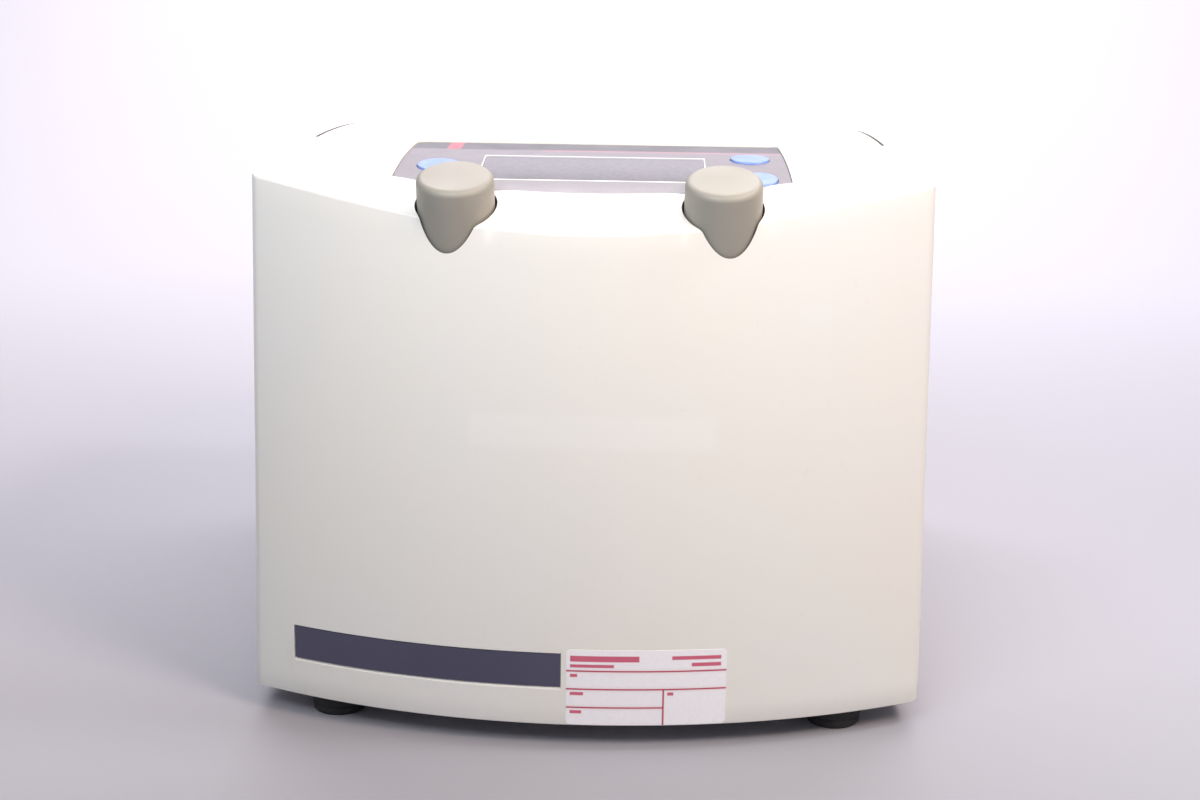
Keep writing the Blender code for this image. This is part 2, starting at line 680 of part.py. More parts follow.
def lid_liner(paint):
    """Inner plate of the lid, with a shallow drum over the chamber and a tube to the viewport."""
    side = LID_HALF_WIDTH - LID_WALL - GAP
    y0 = at_depth(LID_FRONT + LID_WALL + GAP)
    y1 = at_depth(HINGE_DEPTH - 12.0 - LID_WALL - GAP)
    plate = prism_z("plate", rounded_rectangle(-side, y0, side, y1, 2.0), LINER_LOW, LINER_HIGH)
    cut(plate, cylinder("hole", 20, LINER_LOW - 5, LINER_HIGH + 5, ROTOR_AXIS, COARSE, 0,
                        CUTTER_TURN))
    bore, tube_r = VIEWPORT_RADIUS, VIEWPORT_RADIUS + 1.8
    drum = [(bore, LINER_LOW - 3.6), (77, LINER_LOW - 3.6), (79, LINER_LOW - 2.4),
            (79, LINER_HIGH - 0.5), (tube_r, LINER_HIGH - 0.5), (tube_r, VIEWPORT_TUBE_TOP),
            (bore, VIEWPORT_TUBE_TOP)]
    unite(plate, turned("drum", drum, ROTOR_AXIS, FINE))
    gasket_groove = [(83.9, LINER_LOW - 5), (88.1, LINER_LOW - 5), (88.1, LINER_LOW + 1.0),
                     (83.9, LINER_LOW + 1.0)]
    cut(plate, turned("groove", gasket_groove, ROTOR_AXIS, FINE))
    return finish(plate, "lid_liner", paint["liner"], HINGE_AXIS)


def lid_gasket(paint):
    low = DECK_Z + GAP + BOWL_SHEET + GAP
    high = LINER_LOW + 1.0 - GAP
    profile = [(84.9, low), (87.1, low), (87.8, low + 0.8), (87.8, high), (84.2, high),
               (84.2, low + 0.8)]
    return finish(turned("lid_gasket", profile, ROTOR_AXIS, FINE), "lid_gasket",
                  paint["grey_rubber"], HINGE_AXIS)


def viewport_lens(paint):
    """Clear disc set into the lid, flush with its top."""
    top = crown(ROTOR_DEPTH) - 0.3
    lens = cylinder("lens", VIEWPORT_RADIUS - GAP, top - 3.0, top, ROTOR_AXIS, SHAFT)
    return finish(lens, "viewport_lens", paint["lens"], HINGE_AXIS)


def lid_striker(paint):
    """Steel tongue with a window, hanging from the lid liner into the latch slot."""
    x, y = LATCH_X, at_depth(LATCH_DEPTH)
    low, top = DECK_Z - 21, LINER_LOW - GAP
    tongue = block("tongue", (x - 5.5, y - 1, low), (x + 5.5, y + 1, top))
    unite(tongue, block("flange", (x - 7, y - 3.6, top - 1.6), (x + 7, y + 4.4, top)))
    cut(tongue, block("window", (x - 3.6, y - 5, low + 3), (x + 3.6, y + 5, low + 11.3)))
    return finish(tongue, "lid_striker", paint["bright"], HINGE_AXIS)


def hinge_bracket(name, side, paint):
    """Knuckle on a pedestal that stands on the deck behind the chamber."""
    x = side * HINGE_X
    half = HINGE_GAP_WIDTH / 2 - 0.6
    knuckle = rod_along(name, "X", HINGE_RADIUS - 0.2, x - half, x + half, HINGE_AXIS, SHAFT)
    stand = block("stand", (x - half, HINGE_Y - 4.8, DECK_Z + GAP),
                  (x + half, HINGE_Y + 4.8, HINGE_Z))
    unite(knuckle, stand)
    bore = HINGE_PIN_RADIUS + RUNNING_CLEARANCE
    cut(knuckle, rod_along("bore", "X", bore, x - 20, x + 20, HINGE_AXIS, SHAFT))
    return finish(knuckle, name, paint["black"], HINGE_AXIS)


def hinge_pin(name, side, paint):
    x = side * HINGE_X
    half = HINGE_PIN_HALF
    pin = rod_along(name, "X", HINGE_PIN_RADIUS, x - half, x + half, HINGE_AXIS, SHAFT)
    return finish(pin, name, paint["bright"], (x, HINGE_Y, HINGE_Z))


# ---------------------------------------------------------------- lid latch
def latch_bracket(paint):
    """Two cheeks joined by a foot; the hook turns between them on two short stub pivots."""
    x, y, z = LATCH_X, at_depth(HOOK_PIVOT_DEPTH), HOOK_PIVOT_Z
    outer, inner = 7.0, 5.4
    frame = block("frame", (x - outer, y - 5, z - 9), (x + outer, y + 34, z + 7))
    cut(frame, block("slot", (x - inner, y - 20, z - 7), (x + inner, y + 60, z + 20)))
    return finish(frame, "latch_bracket", paint["steel"])


def latch_hook(paint):
    """Lever with a nose that reaches into the striker's window when it swings forward."""
    x, y, z = LATCH_X, at_depth(HOOK_PIVOT_DEPTH), HOOK_PIVOT_Z
    tip = z + HOOK_LENGTH
    outline = [(y - 3.5, z - 3), (y + 3.5, z - 3), (y + 3.5, z + 3), (y + 0.5, z + 9),
               (y + 0.5, tip + 2.5), (y - 7.2, tip + 2.5), (y - 7.2, tip - 1.0),
               (y - 3.0, tip - 2.0),
               (y - 3.0, z + 9)]
    hook = prism_x("latch_hook", outline, x - 2.6, x + 2.6)
    return finish(hook, "latch_hook", paint["bright"], (x, y, z))


def latch_pivot_parts(paint):
    """Solenoid behind the hook and the plunger that pushes it."""
    x, y, z = LATCH_X, at_depth(HOOK_PIVOT_DEPTH), HOOK_PIVOT_Z + 14
    coil = block("latch_solenoid", (x - 8, y + 12, z - 6.4), (x + 8, y + 34, z + 8))
    cut(coil, rod_along("coil_bore", "Y", 3.3, y + 5, y + 40, (x, 0, z), COARSE))
    finish(coil, "latch_solenoid", paint["copper"])
    plunger = rod_along("latch_plunger", "Y", 3.0, y + 1.0, y + 30, (x, 0, z), COARSE)
    finish(plunger, "latch_plunger", paint["bright"], (x, y, z))


# ---------------------------------------------------------------- chamber and rotor
def chamber_bowl(paint):
    """Drawn steel bowl with a rim on the deck and a collar round the spindle."""
    t, rim_z, floor, corner = BOWL_SHEET, DECK_Z + GAP, BOWL_FLOOR_Z, 14.0
    outer_r = BOWL_RADIUS + t
    outer = arc((BOWL_RADIUS - corner, floor + corner), corner + t, 0, -pi / 2, 3)
    inner = arc((BOWL_RADIUS - corner, floor + corner), corner, -pi / 2, 0, 3)
    profile = ([(BOWL_RIM_RADIUS, rim_z), (outer_r, rim_z)] + outer
               + [(16.0, floor - t), (16.0, floor)] + inner
               + [(BOWL_RADIUS, rim_z + t), (BOWL_RIM_RADIUS, rim_z + t)])
    return finish(turned("chamber_bowl", profile, ROTOR_AXIS, FINE), "chamber_bowl",
                  paint["steel"], ROTOR_AXIS)


def spindle_seal(paint):
    """Rubber boot between the bowl and the spindle."""
    z = BOWL_FLOOR_Z
    profile = [(6.0, z - 4), (15.7, z - 4), (15.7, z + GAP), (21, z + GAP), (21, z + 1.8),
               (13, z + 2.4), (7.4, z + 5.5), (6.0, z + 5.5)]
    return finish(turned("spindle_seal", profile, ROTOR_AXIS, COARSE), "spindle_seal",
                  paint["rubber"], ROTOR_AXIS)


def tube_hole(index):
    """Cutter for one slanted tube place: a cylinder with a conical bottom."""
    over = 14.0
    profile = [(0, -TUBE_DEPTH), (TUBE_RADIUS, -TUBE_DEPTH + 4), (TUBE_RADIUS, over), (0, over)]
    hole = turned("tube", profile, (0, 0, 0), TUBE_SIDES)
    lean = Matrix.Rotation(-TUBE_ANGLE, 4, "Y")
    out = Matrix.Translation(Vector((TUBE_RING_RADIUS, 0, TUBE_MOUTH_Z)) * MM)
    round_ = Matrix.Rotation(2 * pi * (index + 0.5) / TUBE_COUNT, 4, "Z")
    hole.data.transform(Matrix.Translation(Vector(ROTOR_AXIS) * MM) @ round_ @ out @ lean)
    return hole


def rotor_body(paint):
    """Fixed-angle rotor: conical outside, sloping ring of tube mouths, dished centre with a hub."""
    z0, r = ROTOR_BASE_Z, ROTOR_RADIUS
    mouth_r, mouth_z = TUBE_RING_RADIUS, TUBE_MOUTH_Z
    lip = 5.6
    profile = [(8.3, z0), (17, z0), (30, z0 + 7), (66, z0 + 7), (r - 4, z0 + 10), (r, z0 + 15),
               (r, z0 + 23), (mouth_r + lip + 2.6, mouth_z + lip - 0.4),
               (mouth_r + lip + 1.0, mouth_z + lip + 0.4), (mouth_r + lip, mouth_z + lip),
               (mouth_r - lip, mouth_z - lip), (mouth_r - lip - 3, mouth_z - lip - 1.5),
               (17, mouth_z - lip - 1.5), (16, mouth_z - 6), (3.7, mouth_z - 6),
               (3.7, z0 + 24), (8.3, z0 + 20)]
    rotor = turned("rotor", profile, ROTOR_AXIS, FINE)
    for index in range(TUBE_COUNT):
        cut(rotor, tube_hole(index))
    return finish(rotor, "rotor_body", paint["aluminium"], ROTOR_AXIS)


def rotor_nut(paint):
    """Hand knob that clamps the rotor on the spindle: fluted grip on a collar."""
    low, high = TUBE_MOUTH_Z - 6 + GAP, TUBE_MOUTH_Z + 14
    flutes, base_r, depth = 8, 13.0, 1.6
    outline = []
    for k in range(48):
        angle = 2 * pi * k / 48
        r = base_r - depth * max(0.0, cos(flutes * angle)) ** 2
        outline.append((r * cos(angle), ROTOR_Y + r * sin(angle)))
    nut = prism_z("grip", outline, low + 4, high)
    collar = [(0, low), (15, low), (15, low + 3), (12, low + 5), (0, low + 5)]
    unite(nut, turned("collar", collar, ROTOR_AXIS, FINE, 0, CUTTER_TURN))
    cut(nut, cylinder("thread", 3.4, low - 5, low + 10, ROTOR_AXIS, COARSE, 0, 2 * CUTTER_TURN))
    return finish(nut, "rotor_nut", paint["black"], ROTOR_AXIS)


def drive_spindle(paint):
    top = TUBE_MOUTH_Z - 6 + 8
    z0 = ROTOR_BASE_Z
    profile = [(0, 18), (SPINDLE_RADIUS, 18), (SPINDLE_RADIUS, z0 - 0.5), (8.0, z0 + 1.0),
               (8.0, z0 + 19.6), (3.0, z0 + 23.6), (3.0, top), (0, top)]
    return finish(turned("drive_spindle", profile, ROTOR_AXIS, SHAFT), "drive_spindle",
                  paint["bright"], ROTOR_AXIS)


# ---------------------------------------------------------------- drive motor
MOTOR_LOW = 28.8
MOTOR_HIGH = 90.0


def motor_parts(paint):
    """Can, end cap, stator, armature, two bearings and the cooling fan, all on the rotor axis."""
    r, low, high, bearing_r = MOTOR_RADIUS, MOTOR_LOW, MOTOR_HIGH, 11.0
    shaft = SPINDLE_RADIUS
    can = [(bearing_r + GAP, high - 3), (bearing_r + GAP, high), (r - 3, high), (r, high - 3),
           (r, low), (r - 2.4, low), (r - 2.4, high - 3)]
    finish(turned("can", can, ROTOR_AXIS, SHAFT), "motor_housing", paint["steel"], ROTOR_AXIS)
    cap = [(bearing_r + GAP, low - 4.3), (56, low - 4.3), (56, low - GAP), (r - 2.8, low - GAP),
           (r - 2.8, low + 2.5), (bearing_r + GAP, low + 2.5)]
    finish(turned("cap", cap, ROTOR_AXIS, SHAFT), "motor_end_cap", paint["steel"], ROTOR_AXIS)
    stator = [(26, low + 10), (r - 2.8, low + 10), (r - 2.8, high - 14), (26, high - 14)]
    finish(turned("stator", stator, ROTOR_AXIS, SHAFT), "motor_stator", paint["copper"],
           ROTOR_AXIS)
    core = [(shaft + GAP, low + 8), (25, low + 8), (25, high - 12), (shaft + GAP, high - 12)]
    finish(turned("core", core, ROTOR_AXIS, SHAFT), "motor_armature", paint["copper"], ROTOR_AXIS)
    for name, z in (("upper_bearing", high - 3), ("lower_bearing", low - 3)):
        race = ring(name, shaft + RUNNING_CLEARANCE, bearing_r, z, z + 5, ROTOR_AXIS, SHAFT)
        finish(race, name, paint["bright"], ROTOR_AXIS)
    fan_low = high + 3
    hub = [(0, fan_low), (30, fan_low), (30, fan_low + 1.2), (12, fan_low + 1.2),
           (12, fan_low + 7), (0, fan_low + 7)]
    fan = turned("hub", hub, ROTOR_AXIS, SHAFT)
    for k in range(8):
        blade = block("blade", (9, -0.9, fan_low + 0.5), (29, 0.9, fan_low + 6))
        turn = Matrix.Rotation(2 * pi * (k + 0.37) / 8, 4, "Z")
        blade.data.transform(Matrix.Translation(Vector(ROTOR_AXIS) * MM) @ turn)
        unite(fan, blade)
    cut(fan, cylinder("fan_bore", shaft + GAP, high, high + 20, ROTOR_AXIS, SHAFT, 0,
                      CUTTER_TURN))
    finish(fan, "motor_fan", paint["black"], ROTOR_AXIS)


def isolator(index, paint):
    """Rubber mount under the motor's flange."""
    angle = 2 * pi * index / 3 + pi / 2
    x, y = 47 * cos(angle), ROTOR_Y + 47 * sin(angle)
    low, high = BODY_BOTTOM + 2 * GAP + 1.6, MOTOR_LOW - 4.3 - GAP
    middle = (low + high) / 2
    profile = [(0, low), (8, low), (8, middle - 2.5), (6.2, middle), (8, middle + 2.5),
               (8, high), (0, high)]
    name = f"motor_isolator_{index + 1}"
    return finish(turned(name, profile, (x, y, 0), COARSE), name, paint["rubber"], (x, y, 0))


# ---------------------------------------------------------------- power and electronics
PAN_TOP = BODY_BOTTOM + GAP + 1.6


def drive_board(paint):
    low = PAN_TOP + GAP
    board = block("board", (4, at_depth(268), low + 5), (104, at_depth(336), low + 6.6))
    for x in (8, 100):
        for depth in (272, 332):
            unite(board, cylinder("standoff", 2.6, low, low + 6, (x, at_depth(depth), 0), 12))
    return finish(board, "drive_board", paint["board"])


def bulk_capacitor(paint):
    low = PAN_TOP + GAP + 6.6 + GAP
    x, y = 80, at_depth(300)
    can = turned("can", [(0, low), (14, low), (14, low + 42), (13, low + 43), (0, low + 43)],
                 (x, y, 0), COARSE)
    return finish(can, "bulk_capacitor", paint["black"], (x, y, 0))


def transformer(paint):
    """Laminated core with a winding bulging on both sides, on a foot plate."""
    low = PAN_TOP + GAP
    y0, y1 = at_depth(268), at_depth(300)
    core = block("core", (-66, y0 + 6, low), (-12, y1 - 6, low + 46))
    unite(core, block("winding", (-56, y0, low + 8), (-22, y1, low + 38)))
    unite(core, block("foot", (-76, y0 + 4, low), (-2, y1 - 4, low + 2)))
    return finish(core, "transformer", paint["copper"])


def iec_inlet(paint):
    """Mains inlet: flange, body, a socket with three blades, and a slot for the fuse drawer."""
    x, z, rear = INLET_X, INLET_Z, BODY_DEPTH / 2
    body = block("body", (x - 14, rear - 26, z - 25), (x + 14, rear + 0.5, z + 25))
    unite(body, block("flange", (x - 16.5, rear, z - 28), (x + 16.5, REAR_FACE, z + 28)))
    socket = [(x - 12, z - 19), (x + 12, z - 19), (x + 12, z - 6), (x + 8, z - 2), (x - 8, z - 2),
              (x - 12, z - 6)]
    cut(body, prism_y("socket", socket, rear - 19, rear + 5))
    for px, pz in ((-7, -12.5), (7, -12.5), (0, -8.5)):
        unite(body, block("pin", (x + px - 1.0, rear - 20, z + pz - 2),
                          (x + px + 1.0, rear - 5.8, z + pz + 2)))
    cut(body, block("drawer_slot", (x - 11.5, rear - 22, z + 5), (x + 11.5, rear + 5, z + 18)))
    return finish(body, "iec_inlet", paint["black"], (x, rear, z))


def fuse_drawer(paint):
    x, z, rear = INLET_X, INLET_Z, BODY_DEPTH / 2
    drawer = block("drawer", (x - 11.2, rear - 21, z + 5.3), (x + 11.2, REAR_FACE - 0.2, z + 17.7))
    for px in (-5.3, 5.3):
        cut(drawer, block("fuse_bay", (x + px - 3.0, rear - 19.5, z + 9),
                          (x + px + 3.0, rear - 4, z + 22)))
    cut(drawer, block("finger_notch", (x - 4, rear - 1.4, z + 4), (x + 4, rear + 3, z + 7.6)))
    return finish(drawer, "fuse_drawer", paint["black"], (x, rear, z + 11.5))


def power_switch(paint):
    x, z, rear = SWITCH_X, SWITCH_Z, BODY_DEPTH / 2
    frame = block("frame", (x - 6.8, rear - 22, z - 10.3), (x + 6.8, rear + 0.5, z + 10.3))
    unite(frame, block("bezel", (x - 8.6, rear, z - 12.2), (x + 8.6, REAR_FACE - 0.1, z + 12.2)))
    cut(frame, block("well", (x - 5.2, rear - 12, z - 8.8), (x + 5.2, rear + 5, z + 8.8)))
    finish(frame, "power_switch_frame", paint["black"], (x, rear, z))
    pivot_y = rear - 6.5
    off = radians(9)
    rocker = prism_x("rocker", [(pivot_y - 3, z - 5), (pivot_y - 3, z + 5), (pivot_y + 3.4, z + 7.2),
                                (pivot_y + 2.6, z), (pivot_y + 3.4, z - 7.2)], x - 4.8, x + 4.8)
    turn = Matrix.Rotation(off, 4, "X")
    centre = Matrix.Translation(Vector((0, pivot_y, z)) * MM)
    rocker.data.transform(centre @ turn @ centre.inverted())
    finish(rocker, "power_rocker", paint["black"], (x, pivot_y, z))


def ribbon_cable(paint):
    """Flat cable from the control board down the left side and back to the drive board."""
    low = PAN_TOP + 2.0
    t = 1.0
    path = [(at_depth(84.6), 186.0), (at_depth(88.0), 182.0), (at_depth(88.0), low + 4),
            (at_depth(92.0), low)]
    outer = [(y, z) for y, z in path] + [(at_depth(262.0), low)]
    inner = [(at_depth(262.0), low + t), (at_depth(92.4), low + t), (at_depth(88.0 + t), low + 4.4),
             (at_depth(88.0 + t), 182.4), (at_depth(85.0), 186.8)]
    strip = prism_x("ribbon_cable", outer + inner, -66, -52)
    return finish(strip, "ribbon_cable", paint["grey_rubber"])


# ---------------------------------------------------------------- assembly
def build():
    clear_scene()
    paint = make_materials()
    upper_housing(paint)
    base_pan(paint)
    rear_panel(paint)
    for name, x, depth in (("foot_front_left", -FOOT_X, FOOT_DEPTHS[0]),
                           ("foot_front_right", FOOT_X, FOOT_DEPTHS[0]),
                           ("foot_rear_left", -FOOT_X, FOOT_DEPTHS[1]),
                           ("foot_rear_right", FOOT_X, FOOT_DEPTHS[1])):
        foot(name, x, depth, paint)
    for number, (x, z) in enumerate(rear_screw_places(), 1):
        rear_screw(f"rear_screw_{number}", x, z, paint)
    control_overlay(paint)
    display_window(paint)
    display_module(paint)
    control_board(paint)
    for name in KEYS:
        key(name, paint)
    for name, side in (("speed", -1), ("time", 1)):
        knob(f"{name}_knob", side, paint)
        encoder(f"{name}_encoder", side, paint)
    name_band(paint)
    inspection_sticker(paint)
    lid_shell(paint)
    lid_liner(paint)
    lid_gasket(paint)
    viewport_lens(paint)
    lid_striker(paint)
    for name, side in (("left", -1), ("right", 1)):
        hinge_bracket(f"hinge_bracket_{name}", side, paint)
        hinge_pin(f"hinge_pin_{name}", side, paint)
    latch_bracket(paint)
    latch_hook(paint)
    latch_pivot_parts(paint)
    chamber_bowl(paint)
    spindle_seal(paint)
    rotor_body(paint)
    rotor_nut(paint)
    drive_spindle(paint)
    motor_parts(paint)
    for index in range(3):
        isolator(index, paint)
    drive_board(paint)
    bulk_capacitor(paint)
    transformer(paint)
    iec_inlet(paint)
    fuse_drawer(paint)
    power_switch(paint)
    ribbon_cable(paint)


build()
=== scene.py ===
"""Looks of the bench microcentrifuge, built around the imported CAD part.

Lengths in this script are millimetres and become metres in the mesh helpers. "depth" is the
distance behind the foremost point of the bowed front face.
"""

from math import asin, cos, exp, pi, radians, sin, sqrt, tan

import bmesh
import bpy
from mathutils import Matrix, Vector


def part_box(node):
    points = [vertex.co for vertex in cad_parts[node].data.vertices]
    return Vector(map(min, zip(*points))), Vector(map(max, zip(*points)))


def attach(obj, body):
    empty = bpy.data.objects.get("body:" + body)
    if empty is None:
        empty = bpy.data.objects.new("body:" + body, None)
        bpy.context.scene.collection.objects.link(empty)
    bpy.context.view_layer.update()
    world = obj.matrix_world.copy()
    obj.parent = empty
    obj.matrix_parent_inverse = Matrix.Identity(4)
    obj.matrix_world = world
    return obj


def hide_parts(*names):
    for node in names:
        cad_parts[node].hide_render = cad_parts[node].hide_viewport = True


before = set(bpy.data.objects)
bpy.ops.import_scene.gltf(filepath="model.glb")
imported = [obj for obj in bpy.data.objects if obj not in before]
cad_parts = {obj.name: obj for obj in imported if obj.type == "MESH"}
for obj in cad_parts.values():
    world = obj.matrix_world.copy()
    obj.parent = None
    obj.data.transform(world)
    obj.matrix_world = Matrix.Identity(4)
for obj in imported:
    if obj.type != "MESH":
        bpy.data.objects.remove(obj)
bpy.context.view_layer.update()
MM = 0.001
SHARP_ANGLE = radians(35)

# -------- dimensions (mm)
HOUSING_LOW, HOUSING_HIGH = (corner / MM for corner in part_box("upper_housing"))
BODY_DEPTH = HOUSING_HIGH.y - HOUSING_LOW.y
BODY_BOTTOM = HOUSING_LOW.z
BODY_WIDTH = 241.0
CORNER_HEIGHT = 200.7
SIDE_DRAFT = radians(1.18)
BOW_RADIUS = 262.0
TOP_HEIGHT = 212.5
LIP_DROP = 27.3
LIP_LENGTH = 34.5
FALL_SLOPE = 0.07
FALL_DEPTH = 175.0
FALL_EASE = 25.0
FRONT_CORNER_RADIUS = 5.0
REAR_CORNER_RADIUS = 14.0
REAR_TOP_RADIUS = 12.0
STRAIGHT_START = 40.0
WALL = 3.0
EDGE_RADIUS = 1.0

ROTOR_DEPTH = 187.0
LID_FRONT = 92.8
LID_HALF_WIDTH = 109.2
LID_GAP = 0.8
LID_WALL = 2.4
LID_RIM_Z = 193.2
DECK_Z = 190.0
LID_EDGE = 0.7
LID_CORNER = 1.2
VIEWPORT_RADIUS = 8.6
HINGE_DEPTH = 300.0
LID_INNER_REAR = HINGE_DEPTH - 12.0
HINGE_RADIUS = 6.2
HINGE_X = 80.0
HINGE_PIN_BORE = 2.08
HINGE_GAP_WIDTH = 17.0
LATCH_X, LATCH_DEPTH = 92.0, 107.0

KNOB_X = 45.8
KNOB_RADIUS = 13.6
KNOB_DRAFT = 0.3
KNOB_EDGE = 2.4
KNOB_TOP_ALONG = 24.0
KNOB_TILT = radians(21.0)
KNOB_PIVOT_DEPTH = 18.1
KNOB_PIVOT_Z = 180.8
KNOB_BORE_RADIUS = 14.15
KNOB_FLOOR_ALONG = -11.5
KNOB_WELL_WALL = 2.4

PANEL_HALF_WIDTH = 70.2
PANEL_REAR_HALF_WIDTH = 68.2
PANEL_FRONT_OFFSET = 19.8
PANEL_REAR = 85.0
PANEL_CORNER = 3.5
WINDOW_HALF_WIDTH = 39.8
WINDOW_FRONT = 30.4
WINDOW_REAR = 57.8
KEYS = {
    "key_left": (-55.5, 42.8, 7.6, 6.8),
    "key_right_rear": (56.6, 56.8, 7.0, 6.4),
    "key_right_front": (58.4, 32.8, 7.0, 5.8),
}
KEY_PROUD = 0.25
INLET = (-70.0, 52.0)
SWITCH = (-28.0, 52.0)
REAR_PROUD = 2.04
BAND = (-107.3, -7.8, 23.5, 35.8)
STICKER = (-5.7, 51.4, 9.6, 37.7)
GHOST_LABEL = (-40.7, 45.0, 110.6, 122.4)

CHAMBER_RADIUS = 84.0
CHAMBER_FLOOR = 104.0
ROTOR_RADIUS = 80.0
ROTOR_LOW = 112.0
TUBE_PLACES = 24
TUBE_RING_RADIUS = 48.0
TUBE_RING_Z = 156.0
TUBE_LEAN = radians(45)
FOOT_X = 93.0
FOOT_DEPTHS = {"front": 34.0, "rear": 318.0}


# -------- mesh helpers
def at_depth(depth):
    return depth - BODY_DEPTH / 2


def collect(bm, name):
    bmesh.ops.recalc_face_normals(bm, faces=bm.faces)
    mesh = bpy.data.meshes.new(name)
    bm.to_mesh(mesh)
    bm.free()
    thing = bpy.data.objects.new(name, mesh)
    bpy.context.scene.collection.objects.link(thing)
    smooth(thing)
    return thing


def smooth(thing):
    thing.data.shade_smooth()
    thing.data.set_sharp_from_angle(angle=SHARP_ANGLE)


def bridge(bm, low, high):
    """Faces between two closed rings of vertices."""
    for i in range(len(low)):
        j = (i + 1) % len(low)
        bm.faces.new((low[i], low[j], high[j], high[i]))


def loft(name, sections):
    """A closed solid through rings of points (mm) that all have the same number of points."""
    bm = bmesh.new()
    rings = [[bm.verts.new(Vector(p) * MM) for p in ring] for ring in sections]
    bm.faces.new(rings[0])
    bm.faces.new(rings[-1])
    for low, high in zip(rings, rings[1:]):
        bridge(bm, low, high)
    return collect(bm, name)


def prism_z(name, outline, z0, z1):
    return loft(name, [[(x, y, z) for x, y in outline] for z in (z0, z1)])


def prism_x(name, outline, x0, x1):
    return loft(name, [[(x, y, z) for y, z in outline] for x in (x0, x1)])


def prism_y(name, outline, y0, y1):
    return loft(name, [[(x, y, z) for x, z in outline] for y in (y0, y1)])


def block(name, low, high):
    outline = [(low[0], low[1]), (high[0], low[1]), (high[0], high[1]), (low[0], high[1])]
    return prism_z(name, outline, low[2], high[2])


def lathe(name, profile, centre=(0, 0, 0), sides=96, tilt=0.0, phase=0.0):
    """A closed (radius, height) profile turned about Z, leant forwards by tilt, then moved."""
    bm = bmesh.new()
    poles = {i: bm.verts.new((0, 0, z * MM)) for i, (r, z) in enumerate(profile) if r < 1e-6}
    rings = []
    for k in range(sides):
        a = 2 * pi * k / sides + phase
        rings.append([poles.get(i) or bm.verts.new((r * cos(a) * MM, r * sin(a) * MM, z * MM))
                      for i, (r, z) in enumerate(profile)])
    for k in range(sides):
        here, after = rings[k], rings[(k + 1) % sides]
        for i in range(len(profile)):
            j = (i + 1) % len(profile)
            corners = list(dict.fromkeys([here[i], here[j], after[j], after[i]]))
            if len(corners) > 2:
                bm.faces.new(corners)
    place = Matrix.Translation(Vector(centre) * MM) @ Matrix.Rotation(tilt, 4, "X")
    bmesh.ops.transform(bm, matrix=place, verts=bm.verts)
    return collect(bm, name)


def post(name, radius, low, high, centre=(0, 0, 0), sides=96, tilt=0.0, phase=0.0):
    """A plain cylinder between two heights, turned and moved as lathe does."""
    profile = [(0, low), (radius, low), (radius, high), (0, high)]
    return lathe(name, profile, centre, sides, tilt, phase)


def rod(name, axis, radius, start, end, centre, sides=32):
    """A plain cylinder along X or Y."""
    bar = post(name, radius, start, end, sides=sides)
    turn = Matrix.Rotation(pi / 2, 4, "Y") if axis == "X" else Matrix.Rotation(-pi / 2, 4, "X")
    bar.data.transform(Matrix.Translation(Vector(centre) * MM) @ turn)
    return bar


def join(name, *things):
    """Several loose solids as one object, for one cut."""
    bm = bmesh.new()
    for thing in things:
        bm.from_mesh(thing.data)
        bpy.data.objects.remove(thing, do_unlink=True)
    return collect(bm, name)


def boolean(thing, other, operation):
    step = thing.modifiers.new(operation.lower(), "BOOLEAN")
    step.operation = operation
    step.solver = "MANIFOLD"
    step.object = other
    bpy.context.view_layer.update()
    seen = thing.evaluated_get(bpy.context.evaluated_depsgraph_get())
    result = bpy.data.meshes.new_from_object(seen)
    thing.modifiers.remove(step)
    thing.data = result
    bpy.data.objects.remove(other, do_unlink=True)
    return thing


def cut(thing, *others):
    for other in others:
        boolean(thing, other, "DIFFERENCE")
    return thing


def unite(thing, *others):
    for other in others:
        boolean(thing, other, "UNION")
    return thing


def arc(centre, radius, start, end, count):
    steps = [start + (end - start) * i / count for i in range(count + 1)]
    return [(centre[0] + radius * cos(a), centre[1] + radius * sin(a)) for a in steps]


def rounded_rectangle(x0, y0, x1, y1, radius, count=8):
    corners = (((x1 - radius, y0 + radius), -pi / 2), ((x1 - radius, y1 - radius), 0),
               ((x0 + radius, y1 - radius), pi / 2), ((x0 + radius, y0 + radius), pi))
    return [p for c, a in corners for p in arc(c, radius, a, a + pi / 2, count)]


def centred(x, y, half_x, half_y, radius):
    return rounded_rectangle(x - half_x, y - half_y, x + half_x, y + half_y, radius)


def between_depths(half, front, rear, radius):
    """A rounded rectangle about the middle plane, from one depth to another."""
    return rounded_rectangle(-half, at_depth(front), half, at_depth(rear), radius)


def ellipse(x, y, half_x, half_y, count=64):
    return [(x + half_x * cos(2 * pi * k / count), y + half_y * sin(2 * pi * k / count))
            for k in range(count)]


def place(thing, name, body, material, slot, *replaced):
    """Names, paints and hangs a finished piece on its body, in place of CAD nodes."""
    thing.name = name
    thing.data.name = name
    thing.data.materials.clear()
    thing.data.materials.append(material)
    smooth(thing)
    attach(thing, body)
    if replaced:
        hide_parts(*replaced)
    return thing


# -------- the body's surfaces
def crown(depth):
    """Height of the top surface at a depth."""
    behind = depth - FALL_DEPTH
    fall = FALL_SLOPE * (sqrt(behind ** 2 + FALL_EASE ** 2) + behind) / 2
    z = TOP_HEIGHT - LIP_DROP * exp(-depth / LIP_LENGTH) - fall
    past = depth - (BODY_DEPTH - REAR_TOP_RADIUS)
    if past > 0:
        z -= REAR_TOP_RADIUS - sqrt(max(REAR_TOP_RADIUS ** 2 - past ** 2, 0))
    return z


def bow(x, inset=0.0):
    return BOW_RADIUS - sqrt((BOW_RADIUS - inset) ** 2 - x ** 2)


def half_width(z, inset=0.0):
    return BODY_WIDTH / 2 + (CORNER_HEIGHT - z) * tan(SIDE_DRAFT) - inset


